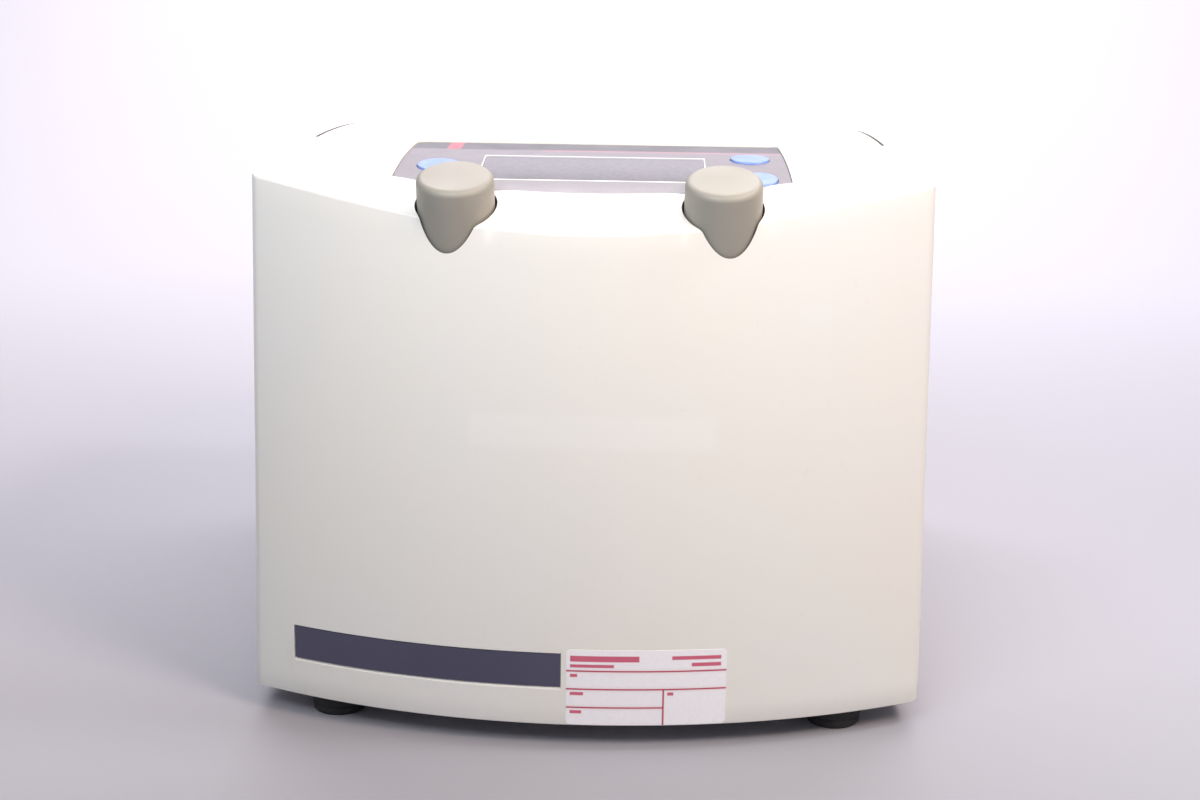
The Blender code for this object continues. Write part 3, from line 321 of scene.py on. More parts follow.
def side_depths(start, end):
    """Depths along a side: close together at the front, wider behind, close again at the rear."""
    step, growth, largest = 1.6, 1.07, 7.0
    depths, here = [], start + step
    while here < end - 16:
        depths.append(here)
        step = min(step * growth, largest)
        here += step
    return depths + [end - k for k in (14, 12, 10, 8, 6.5, 5, 4, 3, 2, 1, 0.4)]


def plan(z, inset=0.0, rear=None, segments=96):
    """Outline of the body at a height: bowed front, straight sides, rounded corners."""
    rear = BODY_DEPTH if rear is None else rear
    side = half_width(z, inset)
    front_r = max(FRONT_CORNER_RADIUS - inset, 1.5)
    rear_r = max(REAR_CORNER_RADIUS - inset, 1.5)
    bow_r = BOW_RADIUS - inset
    reach = asin((side - front_r) / (bow_r - front_r))
    corner = (side - front_r, BOW_RADIUS - (bow_r - front_r) * cos(reach))
    front = arc((0, BOW_RADIUS), bow_r, -pi / 2 - reach, -pi / 2 + reach, segments)
    right = arc(corner, front_r, -pi / 2 + reach, 0, 8)[1:]
    straight = [(side, corner[1] + (STRAIGHT_START - corner[1]) * k / 4) for k in range(1, 4)]
    straight += [(side, d) for d in side_depths(STRAIGHT_START, rear - rear_r)]
    back_right = arc((side - rear_r, rear - rear_r), rear_r, 0, pi / 2, 12)
    half = front[segments // 2:] + right + straight + back_right
    back = [(side - rear_r) * (1 - k / 12) for k in range(1, 12)]
    half += [(x, rear) for x in back]
    points = half + [(0, rear)] + [(-x, y) for x, y in reversed(half[1:])]
    return [(x, at_depth(d)) for x, d in points]


def dish(x, depth):
    """Shallow hollow of the top surface round each knob."""
    low = 0.0
    for side in (-1, 1):
        reach = sqrt((x - side * KNOB_X) ** 2 + ((depth - 17.0) * 0.9) ** 2)
        inside = max(0.0, 1 - (reach / 24.0) ** 2)
        low += 1.3 * inside ** 2
    return low


def body_solid(name):
    """The body with its drafted walls, rolled top and rounded upper edge, as one closed mesh."""
    low_plan, high_plan = plan(BODY_BOTTOM), plan(TOP_HEIGHT)
    span = TOP_HEIGHT - BODY_BOTTOM

    def on_wall(i, z):
        t = (z - BODY_BOTTOM) / span
        return tuple(a + (b - a) * t for a, b in zip(low_plan[i], high_plan[i]))

    def depth_of(y):
        return y + BODY_DEPTH / 2

    count = len(low_plan)
    last_depth = BODY_DEPTH - 0.001
    edge = [crown(min(depth_of(y), last_depth)) - EDGE_RADIUS for _, y in high_plan]
    rings = []
    bottom_round, half_across, half_along = 0.8, 120, 175
    for z in (BODY_BOTTOM, BODY_BOTTOM + 0.25, BODY_BOTTOM + bottom_round):
        pull = bottom_round * (1 - sqrt(1 - (1 - (z - BODY_BOTTOM) / bottom_round) ** 2))
        rings.append([(p[0] * (1 - pull / half_across), p[1] * (1 - pull / half_along), z)
                      for p in (on_wall(i, z) for i in range(count))])
    walls = 26
    for k in range(1, walls + 1):
        ring = []
        for i in range(count):
            z = BODY_BOTTOM + bottom_round + (edge[i] - BODY_BOTTOM - bottom_round) * k / walls
            ring.append((*on_wall(i, z), z))
        rings.append(ring)
    for k in range(1, 6):
        a = pi / 2 * k / 5
        e = EDGE_RADIUS * (1 - cos(a))
        inner = plan(CORNER_HEIGHT, e)
        ring = []
        for x, y in inner:
            d = min(max(depth_of(y), 0), last_depth)
            drop = EDGE_RADIUS * (1 - sin(a)) + dish(x, d)
            ring.append((x, y, crown(d) - drop))
        rings.append(ring)
    inner = plan(CORNER_HEIGHT, EDGE_RADIUS)
    insets = [0.7, 1.4, 2.2, 3, 4, 5, 6, 7, 8, 9, 10, 11, 12.5, 14, 16, 18, 20, 22.5, 25, 28, 31,
              34.5, 38, 42, 46, 51, 56, 62, 68, 75, 82, 90, 99, 109, 120, 132, 145, 158]
    reach = BODY_DEPTH / 2 - EDGE_RADIUS
    for inset in insets:
        s = 1 - inset / reach
        ring = []
        for x, y in inner:
            px, py = x * s, y * s
            d = depth_of(py)
            ring.append((px, py, crown(d) - dish(px, d)))
        rings.append(ring)
    bm = bmesh.new()
    made = [[bm.verts.new(Vector(p) * MM) for p in ring] for ring in rings]
    for low, high in zip(made, made[1:]):
        bridge(bm, low, high)
    centre = bm.verts.new(Vector((0, 0, crown(depth_of(0)))) * MM)
    for i in range(count):
        bm.faces.new((made[-1][i], made[-1][(i + 1) % count], centre))
    bm.faces.new(list(reversed(made[0])))
    return collect(bm, name)


def crown_depths(start, end, step=3.0):
    count = max(2, int((end - start) / step))
    return [start + (end - start) * i / count for i in range(count + 1)]


def over_crown(name, start, end, below, top, half, step):
    """Everything from the top surface less a distance up to a flat top, between two depths."""
    lower = [(at_depth(d), crown(min(d, BODY_DEPTH - 1)) - below)
             for d in crown_depths(start, end, step)]
    return prism_x(name, lower + [(at_depth(end), top), (at_depth(start), top)], -half, half)


def crown_sheet(name, inside, low, high, x0, x1, d0, d1):
    """A layer that follows the top surface between two heights above it, trimmed by an outline."""
    depths = crown_depths(d0, d1, 1.5)
    upper = [(at_depth(d), crown(d) + high) for d in depths]
    lower = [(at_depth(d), crown(d) + low) for d in reversed(depths)]
    layer = prism_x(name, upper + lower, x0, x1)
    return boolean(layer, prism_z("trim", inside, 150, 230), "INTERSECT")


def panel_outline(grow=0.0):
    side = PANEL_HALF_WIDTH + grow
    radius = BOW_RADIUS - PANEL_FRONT_OFFSET + grow
    reach = asin(side / radius)
    front = arc((0, BOW_RADIUS), radius, -pi / 2 - reach, -pi / 2 + reach, 48)
    corner, rear = PANEL_CORNER + grow, PANEL_REAR + grow
    side = PANEL_REAR_HALF_WIDTH + grow
    right = arc((side - corner, rear - corner), corner, 0, pi / 2, 12)
    left = arc((corner - side, rear - corner), corner, pi / 2, pi, 12)
    return [(x, at_depth(d)) for x, d in front + right + left]


def front_layer(name, x0, x1, z0, z1, inner, outer, segments=40):
    """A thin curved plate on the bowed front face, from inner to outer in front of it."""
    xs = [x0 + (x1 - x0) * i / segments for i in range(segments + 1)]
    front = [(x, at_depth(bow(x, -outer))) for x in xs]
    back = [(x, at_depth(bow(x, -inner))) for x in reversed(xs)]
    return prism_z(name, front + back, z0, z1)


def front_label(name, x0, x1, z0, z1, inner, outer, corner):
    """The same plate with rounded corners."""
    flat = rounded_rectangle(x0, z0, x1, z1, corner, 6)
    spread = []
    for (xa, za), (xb, zb) in zip(flat, flat[1:] + flat[:1]):
        parts = max(1, int(abs(xb - xa) / 2.5))
        spread += [(xa + (xb - xa) * k / parts, za + (zb - za) * k / parts)
                   for k in range(parts)]
    bm = bmesh.new()
    rings = [[bm.verts.new(Vector((x, at_depth(bow(x, -out)), z)) * MM) for x, z in spread]
             for out in (inner, outer)]
    bridge(bm, *rings)
    for ring in rings:
        cap = bm.faces.new(ring)
        bmesh.ops.triangulate(bm, faces=[cap], quad_method="BEAUTY", ngon_method="BEAUTY")
    return collect(bm, name)


def recess_slope(x0, x1, z, drop, depth):
    """Cutter that slopes the lower side of a recess in the front face, so that it catches light."""
    face = [(-depth, z + 0.02), (-depth, z + 1.0), (1.0, z + 1.0), (1.0, z - drop),
            (0.0, z - drop)]
    xs = [x0 + (x1 - x0) * i / 40 for i in range(41)]
    return loft("slope", [[(x, at_depth(bow(x, -out)), height) for out, height in face]
                          for x in xs])


# -------- materials
def tree_of(name):
    made = bpy.data.materials.new(name)
    made.use_nodes = True
    return made, made.node_tree, made.node_tree.nodes["Principled BSDF"]


def node(tree, kind, **values):
    made = tree.nodes.new(kind)
    for key, value in values.items():
        made.inputs[key].default_value = value
    return made


def feed(socket, value):
    """Links a socket to an input, or sets the input to a number or a colour."""
    if isinstance(value, bpy.types.NodeSocket):
        socket.id_data.links.new(value, socket)
    elif isinstance(value, (int, float)):
        socket.default_value = value
    else:
        socket.default_value = (*value[:3], 1.0)


def mixed(factor, a, b):
    """Colour mix; factor is a socket, a and b are sockets or colours."""
    mix = factor.id_data.nodes.new("ShaderNodeMix")
    mix.data_type = "RGBA"
    for name, value in (("Factor", factor), ("A", a), ("B", b)):
        feed(mix.inputs[name], value)
    return mix.outputs["Result"]


def maths(operation, *values):
    """The first value is a socket; the others are sockets or numbers."""
    made = values[0].id_data.nodes.new("ShaderNodeMath")
    made.operation = operation
    for socket, value in zip(made.inputs, values):
        feed(socket, value)
    return made.outputs[0]


def times(a, b):
    return maths("MULTIPLY", a, b)


def less(a, b):
    return maths("SUBTRACT", a, b)


def length(a, b):
    """Length of the vector with these two parts."""
    return maths("SQRT", maths("ADD", times(a, a), times(b, b)))


def position(tree):
    return tree.nodes.new("ShaderNodeTexCoord").outputs["Object"]


def coordinates(tree):
    """The object-space position, whole and in its three parts."""
    where = position(tree)
    split = tree.nodes.new("ShaderNodeSeparateXYZ")
    feed(split.inputs[0], where)
    return where, split.outputs["X"], split.outputs["Y"], split.outputs["Z"]


def noise(where, scale, detail=3.0, roughness=0.55, stretch=None):
    tree = where.id_data
    if stretch:
        mapping = node(tree, "ShaderNodeMapping", Scale=stretch)
        feed(mapping.inputs["Vector"], where)
        where = mapping.outputs["Vector"]
    made = node(tree, "ShaderNodeTexNoise", Scale=scale, Detail=detail, Roughness=roughness)
    feed(made.inputs["Vector"], where)
    return made.outputs["Fac"]


def ranged(value, low_in, high_in, low_out, high_out):
    made = value.id_data.nodes.new("ShaderNodeMapRange")
    limits = {"From Min": low_in, "From Max": high_in, "To Min": low_out, "To Max": high_out}
    for name, limit in limits.items():
        made.inputs[name].default_value = limit
    feed(made.inputs["Value"], value)
    return made.outputs["Result"]


def two_tone(value, dark, light, low=0.3, high=0.7):
    """Two colours mixed by a noise, which is stretched from low and high to 0 and 1."""
    return mixed(ranged(value, low, high, 0, 1), dark, light)


def uneven(where, scale, detail, low, high):
    """A noise that runs between two values."""
    return ranged(noise(where, scale, detail), 0.3, 0.7, low, high)


def scaled(colour, factor):
    return tuple(min(1.0, c * factor) for c in colour)


def surface(shader, base, rough, height, strength, distance):
    """Gives a shader its colour, its roughness and a bump."""
    feed(shader.inputs["Base Color"], base)
    feed(shader.inputs["Roughness"], rough)
    relief = node(shader.id_data, "ShaderNodeBump", Strength=strength, Distance=distance)
    feed(relief.inputs["Height"], height)
    feed(shader.inputs["Normal"], relief.outputs["Normal"])


def within(value, low, high, soft=0.00008):
    """1 where value lies between low and high, with a thin soft edge."""
    return times(ranged(value, low - soft, low + soft, 0, 1),
                 ranged(value, high - soft, high + soft, 1, 0))


def box_mask(u, v, u0, u1, v0, v1, soft=0.00008):
    return times(within(u, u0 * MM, u1 * MM, soft),
                 within(v, v0 * MM, v1 * MM, soft))


def plastic(name, colour, roughness=0.42, mottle=0.03, grain=0.00002, grain_scale=1800.0,
            specular=0.5):
    """Moulded plastic: slight colour mottle, fine spark texture, uneven gloss."""
    made, tree, shader = tree_of(name)
    where = position(tree)
    base = two_tone(noise(where, 14.0), scaled(colour, 1 - mottle),
                    scaled(colour, 1 + mottle * 0.6), 0.35, 0.65)
    dust = ranged(noise(where, 260.0, 2.0), 0.62, 0.75, 0, 0.02)
    base = mixed(dust, base, scaled(colour, 0.7))
    shader.inputs["Specular IOR Level"].default_value = specular
    rough = uneven(where, 45.0, 4.0, roughness - 0.05, roughness + 0.06)
    surface(shader, base, rough, noise(where, grain_scale, 2.0), 0.35, grain)
    return made


def metal(name, colour, roughness, brushed, scratches=0.3):
    """Metal with faint scratches in a drawn or turned grain, which brushed stretches."""
    made, tree, shader = tree_of(name)
    where = position(tree)
    shader.inputs["Metallic"].default_value = 1.0
    grain = noise(where, 600.0, 4.0, 0.6, brushed)
    base = two_tone(noise(where, 22.0), scaled(colour, 0.86), colour)
    rough = ranged(grain, 0.3, 0.7, roughness - 0.08, roughness + 0.1)
    surface(shader, base, rough, grain, scratches, 0.00002)
    return made


def rubber(name, colour):
    """Matt rubber, unevenly dusty."""
    made, tree, shader = tree_of(name)
    where = position(tree)
    dusty = ranged(noise(where, 60.0, 5.0), 0.45, 0.8, 0, 0.35)
    base = mixed(dusty, colour, tuple(c * 2.2 + 0.02 for c in colour))
    surface(shader, base, 0.82, noise(where, 900.0), 0.5, 0.00004)
    return made


def housing_material(name, colour):
    """Cream plastic, faintly yellowed and scuffed, with a lost label's ghost and painted gap shade.
    """
    made, tree, shader = tree_of(name)
    where, x, y, z = coordinates(tree)
    warm = tuple(c * f for c, f in zip(colour, (1.0, 0.985, 0.955)))
    cool = tuple(c * f for c, f in zip(colour, (0.985, 0.99, 0.995)))
    base = two_tone(noise(where, 9.0, 4.0), cool, warm, 0.35, 0.65)
    dust = ranged(noise(where, 420.0, 2.0), 0.66, 0.76, 0, 0.10)
    base = mixed(dust, base, scaled(colour, 0.72))

    on_front = ranged(y, -0.145, -0.150, 0, 1)
    ghost = times(box_mask(x, z, *GHOST_LABEL, 0.0012), on_front)
    base = mixed(times(ghost, 0.5), base, scaled(colour, 1.045))

    scuff = noise(where, 90.0, 5.0, 0.7, (1.0, 1.0, 0.25))
    near_floor = ranged(z, 0.012, 0.05, 1, 0)
    scuff = times(ranged(scuff, 0.60, 0.75, 0, 0.25), near_floor)
    base = mixed(scuff, base, scaled(colour, 0.6))

    # Painted shade: a near-black ring just outside each knob bore, for the shadow in the gap round
    # the knob.
    across = less(maths("ABSOLUTE", x), KNOB_X * MM)
    along_y = less(y, at_depth(KNOB_PIVOT_DEPTH) * MM)
    along_z = less(z, KNOB_PIVOT_Z * MM)
    forward = maths("ADD", times(along_y, cos(KNOB_TILT)),
                    times(along_z, sin(KNOB_TILT)))
    knob_gap_shade = ranged(length(across, forward), (KNOB_BORE_RADIUS + 0.12) * MM,
                   (KNOB_BORE_RADIUS + 0.02) * MM, 0, 0.9)
    base = mixed(knob_gap_shade, base, (0.02, 0.02, 0.02))

    # Painted shade: the upper part of the lid recess walls darkened nearly to black, for the shadow
    # in the lid seam.
    gap = LID_GAP + 0.03
    side = LID_HALF_WIDTH + gap
    lid_seam_shade = box_mask(x, y, -side, side, at_depth(LID_FRONT - gap),
                    at_depth(HINGE_DEPTH + HINGE_RADIUS + gap), 0.00003)
    high = ranged(z, (LID_RIM_Z + 0.5) * MM, (LID_RIM_Z + 2.5) * MM, 0, 0.85)
    base = mixed(times(lid_seam_shade, high), base, (0.03, 0.03, 0.03))

    rough = less(uneven(where, 38.0, 4.0, 0.36, 0.46), times(ghost, 0.05))
    surface(shader, base, rough, noise(where, 1100.0), 0.4, 0.00003)
    return made


def shade_ringed(made, inner, outer, colour):
    """The same material with a ring about the rotor axis in another colour, used for painted shade.
    """
    colour_in = made.node_tree.nodes["Principled BSDF"].inputs["Base Color"]
    _, x, y, _ = coordinates(made.node_tree)
    radius = length(x, less(y, at_depth(ROTOR_DEPTH) * MM))
    ring = within(radius, inner * MM, outer * MM)
    feed(colour_in, mixed(ring, colour_in.links[0].from_socket, colour))
    return made


CREAM = (0.80, 0.79, 0.755)
HOUSING = housing_material("housing_satin", CREAM)
# Painted shade: a near-black ring on the viewport hole's wall and chamfer, for the shadow there.
LID = shade_ringed(plastic("lid_satin", (0.82, 0.81, 0.78), 0.40), VIEWPORT_RADIUS - 0.2,
             VIEWPORT_RADIUS + 0.75, (0.05, 0.05, 0.05))
LINER = plastic("liner_grey", (0.60, 0.60, 0.58), 0.5)
KNOB = plastic("knob_beige", (0.335, 0.315, 0.270), 0.45, 0.10, 0.00010, 900.0)
RUBBER = rubber("foot_rubber", (0.022, 0.022, 0.024))
GREY_RUBBER = rubber("seal_rubber", (0.10, 0.10, 0.11))
STEEL = metal("sheet_steel", (0.56, 0.57, 0.59), 0.34, (1, 30, 1))
BRIGHT = metal("bright_steel", (0.72, 0.73, 0.75), 0.20, (1, 1, 40))
ALUMINIUM = metal("anodised_aluminium", (0.24, 0.25, 0.28), 0.36, (1, 1, 60))
BLACK = plastic("black_plastic", (0.022, 0.022, 0.024), 0.42)


def panel_material():
    """Printed control film: lilac ground, darker rear band, red block, thin line, white frame."""
    made, tree, shader = tree_of("panel_print")
    where, x, y, _ = coordinates(tree)
    grain = noise(where, 700.0, 2.0)
    base = two_tone(grain, (0.203, 0.186, 0.206), (0.226, 0.208, 0.228))
    side, band, rear = PANEL_HALF_WIDTH + 1, at_depth(69.3), at_depth(PANEL_REAR + 1)
    prints = (
        ((-side, side, band, rear), 0.00008, 1.0, (0.088, 0.085, 0.095)),
        ((-20, side, at_depth(66.6), at_depth(70.0)), 0.0006, 0.6, (0.42, 0.20, 0.25)),
        ((-55.8, -50.6, band, rear), 0.0003, 1.0, (0.50, 0.085, 0.13)),
        ((-40.2, 40.2, at_depth(29.8), at_depth(58.4)), 0.00008, 1.0, (0.90, 0.90, 0.90)),
    )
    for edges, soft, strength, colour in prints:
        mask = times(box_mask(x, y, *edges, soft), strength)
        base = mixed(mask, base, colour)
    surface(shader, base, uneven(where, 60.0, 3.0, 0.30, 0.40), grain, 0.25, 0.00001)
    return made


def window_material():
    """Grey unlit display behind a clear pane, darker towards the rear."""
    made, tree, shader = tree_of("display_grey")
    where, _, y, _ = coordinates(tree)
    base = two_tone(noise(where, 500.0, 2.0), (0.140, 0.136, 0.152),
                    (0.168, 0.162, 0.181))
    shade = ranged(y, at_depth(50) * MM, at_depth(61) * MM, 0, 0.45)
    base = mixed(shade, base, (0.120, 0.115, 0.135))
    surface(shader, base, uneven(where, 90.0, 3.0, 0.18, 0.26),
            noise(where, 40.0, 2.0), 0.1, 0.00002)
    return made


def key_material():
    """Light blue film over the keys."""
    made, tree, shader = tree_of("key_blue_print")
    where = position(tree)
    base = two_tone(noise(where, 300.0, 2.0), (0.19, 0.30, 0.72), (0.26, 0.37, 0.80))
    surface(shader, base, uneven(where, 80.0, 2.0, 0.32, 0.42),
            noise(where, 1200.0, 2.0), 0.2, 0.00001)
    return made


def paper_material():
    """Inspection sticker: white paper, thin red rules, plain red bars where words would be."""
    made, tree, shader = tree_of("sticker_print")
    where, x, _, z = coordinates(tree)
    x0, x1, z0, z1 = STICKER
    fibre = noise(where, 900.0, 4.0)
    base = two_tone(fibre, (0.87, 0.855, 0.89), (0.92, 0.905, 0.935))
    rules = ((x0, x1, z1 - 7.9), (x0, x1, z1 - 14.7), (x0, 29.0, z1 - 21.6))
    marks = [(a, b, row - 0.28, row + 0.28) for a, b, row in rules]
    marks.append((28.7, 29.3, z0, z1 - 14.7))
    for a, b, c, d in marks:
        halo = box_mask(x, z, a, b, c - 0.5, d + 0.5, 0.0005)
        base = mixed(times(halo, 0.4), base, (0.80, 0.56, 0.60))
    for edges in marks:
        base = mixed(box_mask(x, z, *edges, 0.00012), base, (0.46, 0.045, 0.095))
    bars = ((x0 + 1.4, x0 + 26.0, z1 - 4.4, z1 - 2.2), (x0 + 1.4, x0 + 17.0, z1 - 6.6, z1 - 5.4),
            (x1 - 19.5, x1 - 2.0, z1 - 3.6, z1 - 2.2), (x1 - 12.5, x1 - 2.0, z1 - 6.2, z1 - 4.8),
            (x0 + 1.4, x0 + 4.0, z1 - 10.2, z1 - 9.0), (x0 + 1.4, x0 + 6.2, z1 - 17.0, z1 - 15.8),
            (x0 + 1.4, x0 + 5.6, z1 - 23.9, z1 - 22.7), (30.4, 32.6, z1 - 17.0, z1 - 15.8))
    for edges in bars:
        bar = times(box_mask(x, z, *edges, 0.00012), 0.95)
        base = mixed(bar, base, (0.60, 0.085, 0.165))
    surface(shader, base, ranged(fibre, 0.3, 0.7, 0.48, 0.6), fibre, 0.3, 0.00002)
    return made


def glass_material():
    """Clear plastic with a faint haze."""
    made, tree, shader = tree_of("lens_clear")
    haze = noise(position(tree), 120.0)
    feed(shader.inputs["Base Color"],
         mixed(haze, (0.50, 0.54, 0.56), (0.60, 0.64, 0.66)))
    feed(shader.inputs["Roughness"], ranged(haze, 0.3, 0.7, 0.03, 0.12))
    shader.inputs["Transmission Weight"].default_value = 0.92
    shader.inputs["IOR"].default_value = 1.49
    return made


def board_material():
    """Green circuit board with faint tracks."""
    made, tree, shader = tree_of("board_green")
    tracks = noise(position(tree), 420.0, 0.0, 0.5, (1, 6, 1))
    base = two_tone(tracks, (0.012, 0.085, 0.035), (0.03, 0.17, 0.07), 0.52, 0.56)
    surface(shader, base, 0.38, tracks, 0.3, 0.00003)
    return made


def rocker_material():
    """Black rocker with the generic on and off marks in white."""
    made, tree, shader = tree_of("rocker_marks")
    where, x, y, z = coordinates(tree)
    cx, cz = SWITCH
    grain = noise(where, 900.0, 2.0)
    base = mixed(grain, (0.018, 0.018, 0.02), (0.03, 0.03, 0.032))
    stroke = box_mask(x, z, cx - 0.3, cx + 0.3, cz + 2.9, cz + 5.5)
    reach = length(less(x, cx * MM), less(z, (cz - 4.2) * MM))
    circle = within(reach, 1.05 * MM, 1.5 * MM)
    outside = ranged(y, (BODY_DEPTH / 2 - 6.0) * MM, (BODY_DEPTH / 2 - 5.5) * MM, 0, 1)
    marks = times(maths("MAXIMUM", stroke, circle), outside)
    base = mixed(marks, base, (0.75, 0.75, 0.75))
    surface(shader, base, 0.36, grain, 0.3, 0.00002)
    return made


PANEL = panel_material()
WINDOW = window_material()
KEY = key_material()
PAPER = paper_material()
LENS = glass_material()
BOARD = board_material()
ROCKER = rocker_material()
SLATE = plastic("slate_print", (0.070, 0.069, 0.115), 0.38, 0.06, 0.00001, 900.0, 0.45)
COPPER = metal("copper_wire", (0.62, 0.27, 0.13), 0.32, (1, 1, 12), 0.8)


# -------- housing
def knob_pivot(side):
    return (side * KNOB_X, at_depth(KNOB_PIVOT_DEPTH), KNOB_PIVOT_Z)


def knob_cylinder(name, side, radius, low, high, sides=96):
    return post(name, radius, low, high, knob_pivot(side), sides, KNOB_TILT, 0.017)


ROTOR_AXIS = (0.0, at_depth(ROTOR_DEPTH), 0.0)
HINGE_Z = crown(HINGE_DEPTH) - HINGE_RADIUS - 0.3
HINGE_AXIS = (0.0, at_depth(HINGE_DEPTH), HINGE_Z)


def housing_shell():
    side = LID_HALF_WIDTH + LID_GAP
    front, rear = at_depth(LID_FRONT - LID_GAP), at_depth(HINGE_DEPTH + HINGE_RADIUS + LID_GAP)
    shell = body_solid("housing_shell")

    inner = [[(x, y, z) for x, y in plan(z, WALL, BODY_DEPTH - 4.0, 32)] for z in (-5, 230)]
    hollow = loft("hollow", inner)
    cut(hollow, over_crown("ceiling", -12, BODY_DEPTH + 10, WALL + 1.4, 300, 200, 4.3))
    cut(hollow, block("deck", (-200, front - WALL, DECK_Z - 3), (200, rear + WALL, 260)))
    for s in (-1, 1):
        cut(hollow, knob_cylinder("well", s, KNOB_BORE_RADIUS + KNOB_WELL_WALL,
                                  KNOB_FLOOR_ALONG - KNOB_WELL_WALL, 60, 48))
    cut(shell, hollow)

    recess = prism_z("lid_recess", rounded_rectangle(-side, front, side, rear, 2.0), DECK_Z, 260)
    cut(shell, recess)
    mouth = post("mouth", 85.8, 170, 220, ROTOR_AXIS, 128)
    x, y = LATCH_X, at_depth(LATCH_DEPTH)
    slot = block("latch_slot", (x - 8, y - 6, DECK_Z - 10), (x + 8, y + 5, DECK_Z + 10))
    cut(shell, mouth, slot)
    for s in (-1, 1):
        cut(shell, knob_cylinder("bore", s, KNOB_BORE_RADIUS, KNOB_FLOOR_ALONG, 60, 128))
    shafts = [knob_cylinder("shaft", s, 3.6, -30, 0, 32) for s in (-1, 1)]
    cut(shell, *shafts)
    film = crown_sheet("film", panel_outline(0.3), -1.5, 20, -90, 90, 12, 95)
    cut(shell, film)
    cut(shell, prism_z("window", between_depths(37.8, 32.5, 55.8, 1.0), 185, 230))
    for kx, kd, hx, hy in KEYS.values():
        cut(shell, prism_z("key_hole", ellipse(kx, at_depth(kd), hx + 0.3, hy + 0.3), 185, 230))
    x0, x1, z0, z1 = BAND
    cut(shell, front_layer("band_recess", x0 - 0.35, x1 + 0.35, z0 - 0.35, z1 + 0.35, -0.8, 5))
    cut(shell, recess_slope(x0 - 0.35, x1 + 0.35, z0 - 0.35, 0.7, 0.8))
    back = BODY_DEPTH / 2
    seat = block("seat", (-102.3, back - 2.6, 17.7), (102.3, back + 5, 150.3))
    opening = block("opening", (-95, back - 20, 25), (95, back + 5, 143))
    cut(shell, seat, opening)
    return place(shell, "housing_shell", "housing", HOUSING, "housing_plastic", "upper_housing")


housing_shell()


# -------- lid
def lid_shell():
    """Top skin with softly rounded seams, side walls, and a round rear edge on the hinge axis."""
    steps = 6
    angles = [pi / 2 * k / steps for k in range(steps + 1)]

    def ring(x, drop, pull):
        front = LID_FRONT + pull
        edge = [(front + LID_EDGE * (1 - cos(a)), LID_EDGE * (1 - sin(a))) for a in angles]
        upper = [(d, crown(d) - low - drop) for d, low in edge]
        upper += [(d, crown(d) - drop)
                  for d in crown_depths(front + LID_EDGE, HINGE_DEPTH, 3.0)[1:]]
        lower = [(HINGE_DEPTH, crown(HINGE_DEPTH) - LID_WALL),
                 (LID_INNER_REAR, crown(LID_INNER_REAR) - LID_WALL),
                 (LID_INNER_REAR, LID_RIM_Z), (front, LID_RIM_Z)]
        return [(x, at_depth(d), z) for d, z in upper + lower]

    side = [(LID_HALF_WIDTH - LID_EDGE * (1 - cos(a)), LID_EDGE * (1 - sin(a)),
             LID_CORNER * (1 - sin(a))) for a in angles]
    rings = [ring(-x, drop, pull) for x, drop, pull in side]
    rings += [ring(x, drop, pull) for x, drop, pull in reversed(side)]
    shell = loft("lid_shell", rings)
    barrel = rod("barrel", "X", HINGE_RADIUS + 0.3, -LID_HALF_WIDTH, LID_HALF_WIDTH,
                 HINGE_AXIS, 64)
    unite(shell, barrel)
    hollow = [(at_depth(d), crown(d) - LID_WALL)
              for d in crown_depths(LID_FRONT + LID_WALL, LID_INNER_REAR - LID_WALL)]
    hollow += [(at_depth(LID_INNER_REAR - LID_WALL), LID_RIM_Z - 10),
               (at_depth(LID_FRONT + LID_WALL), LID_RIM_Z - 10)]
    cut(shell, prism_x("hollow", hollow, LID_WALL - LID_HALF_WIDTH, LID_HALF_WIDTH - LID_WALL))
    for s in (-1, 1):
        x, half = s * HINGE_X, HINGE_GAP_WIDTH / 2
        y = at_depth(HINGE_DEPTH)
        cut(shell, block("gap", (x - half, y - HINGE_RADIUS - 2.4, LID_RIM_Z - 10),
                         (x + half, y + HINGE_RADIUS + 5, TOP_HEIGHT + 10)),
            rod("pin_bore", "X", HINGE_PIN_BORE, x - 22, x + 22, HINGE_AXIS, 32))
    top = crown(ROTOR_DEPTH)
    hole = [(0, 180), (VIEWPORT_RADIUS, 180), (VIEWPORT_RADIUS, top - 0.7),
            (VIEWPORT_RADIUS + 0.9, top + 0.3), (VIEWPORT_RADIUS + 0.9, 230), (0, 230)]
    cut(shell, lathe("viewport_hole", hole, ROTOR_AXIS, 96))
    place(shell, "lid_cover", "lid", LID, "lid_plastic", "lid_shell")

    lens = [(0, top - 3.3), (VIEWPORT_RADIUS - 0.3, top - 3.3), (VIEWPORT_RADIUS - 0.3, top - 0.9),
            (VIEWPORT_RADIUS - 0.8, top - 0.35), (VIEWPORT_RADIUS - 3, top - 0.15), (0, top - 0.05)]
    place(lathe("lens", lens, ROTOR_AXIS, 96), "viewport_window", "lid", LENS, "clear_lens",
          "viewport_lens")


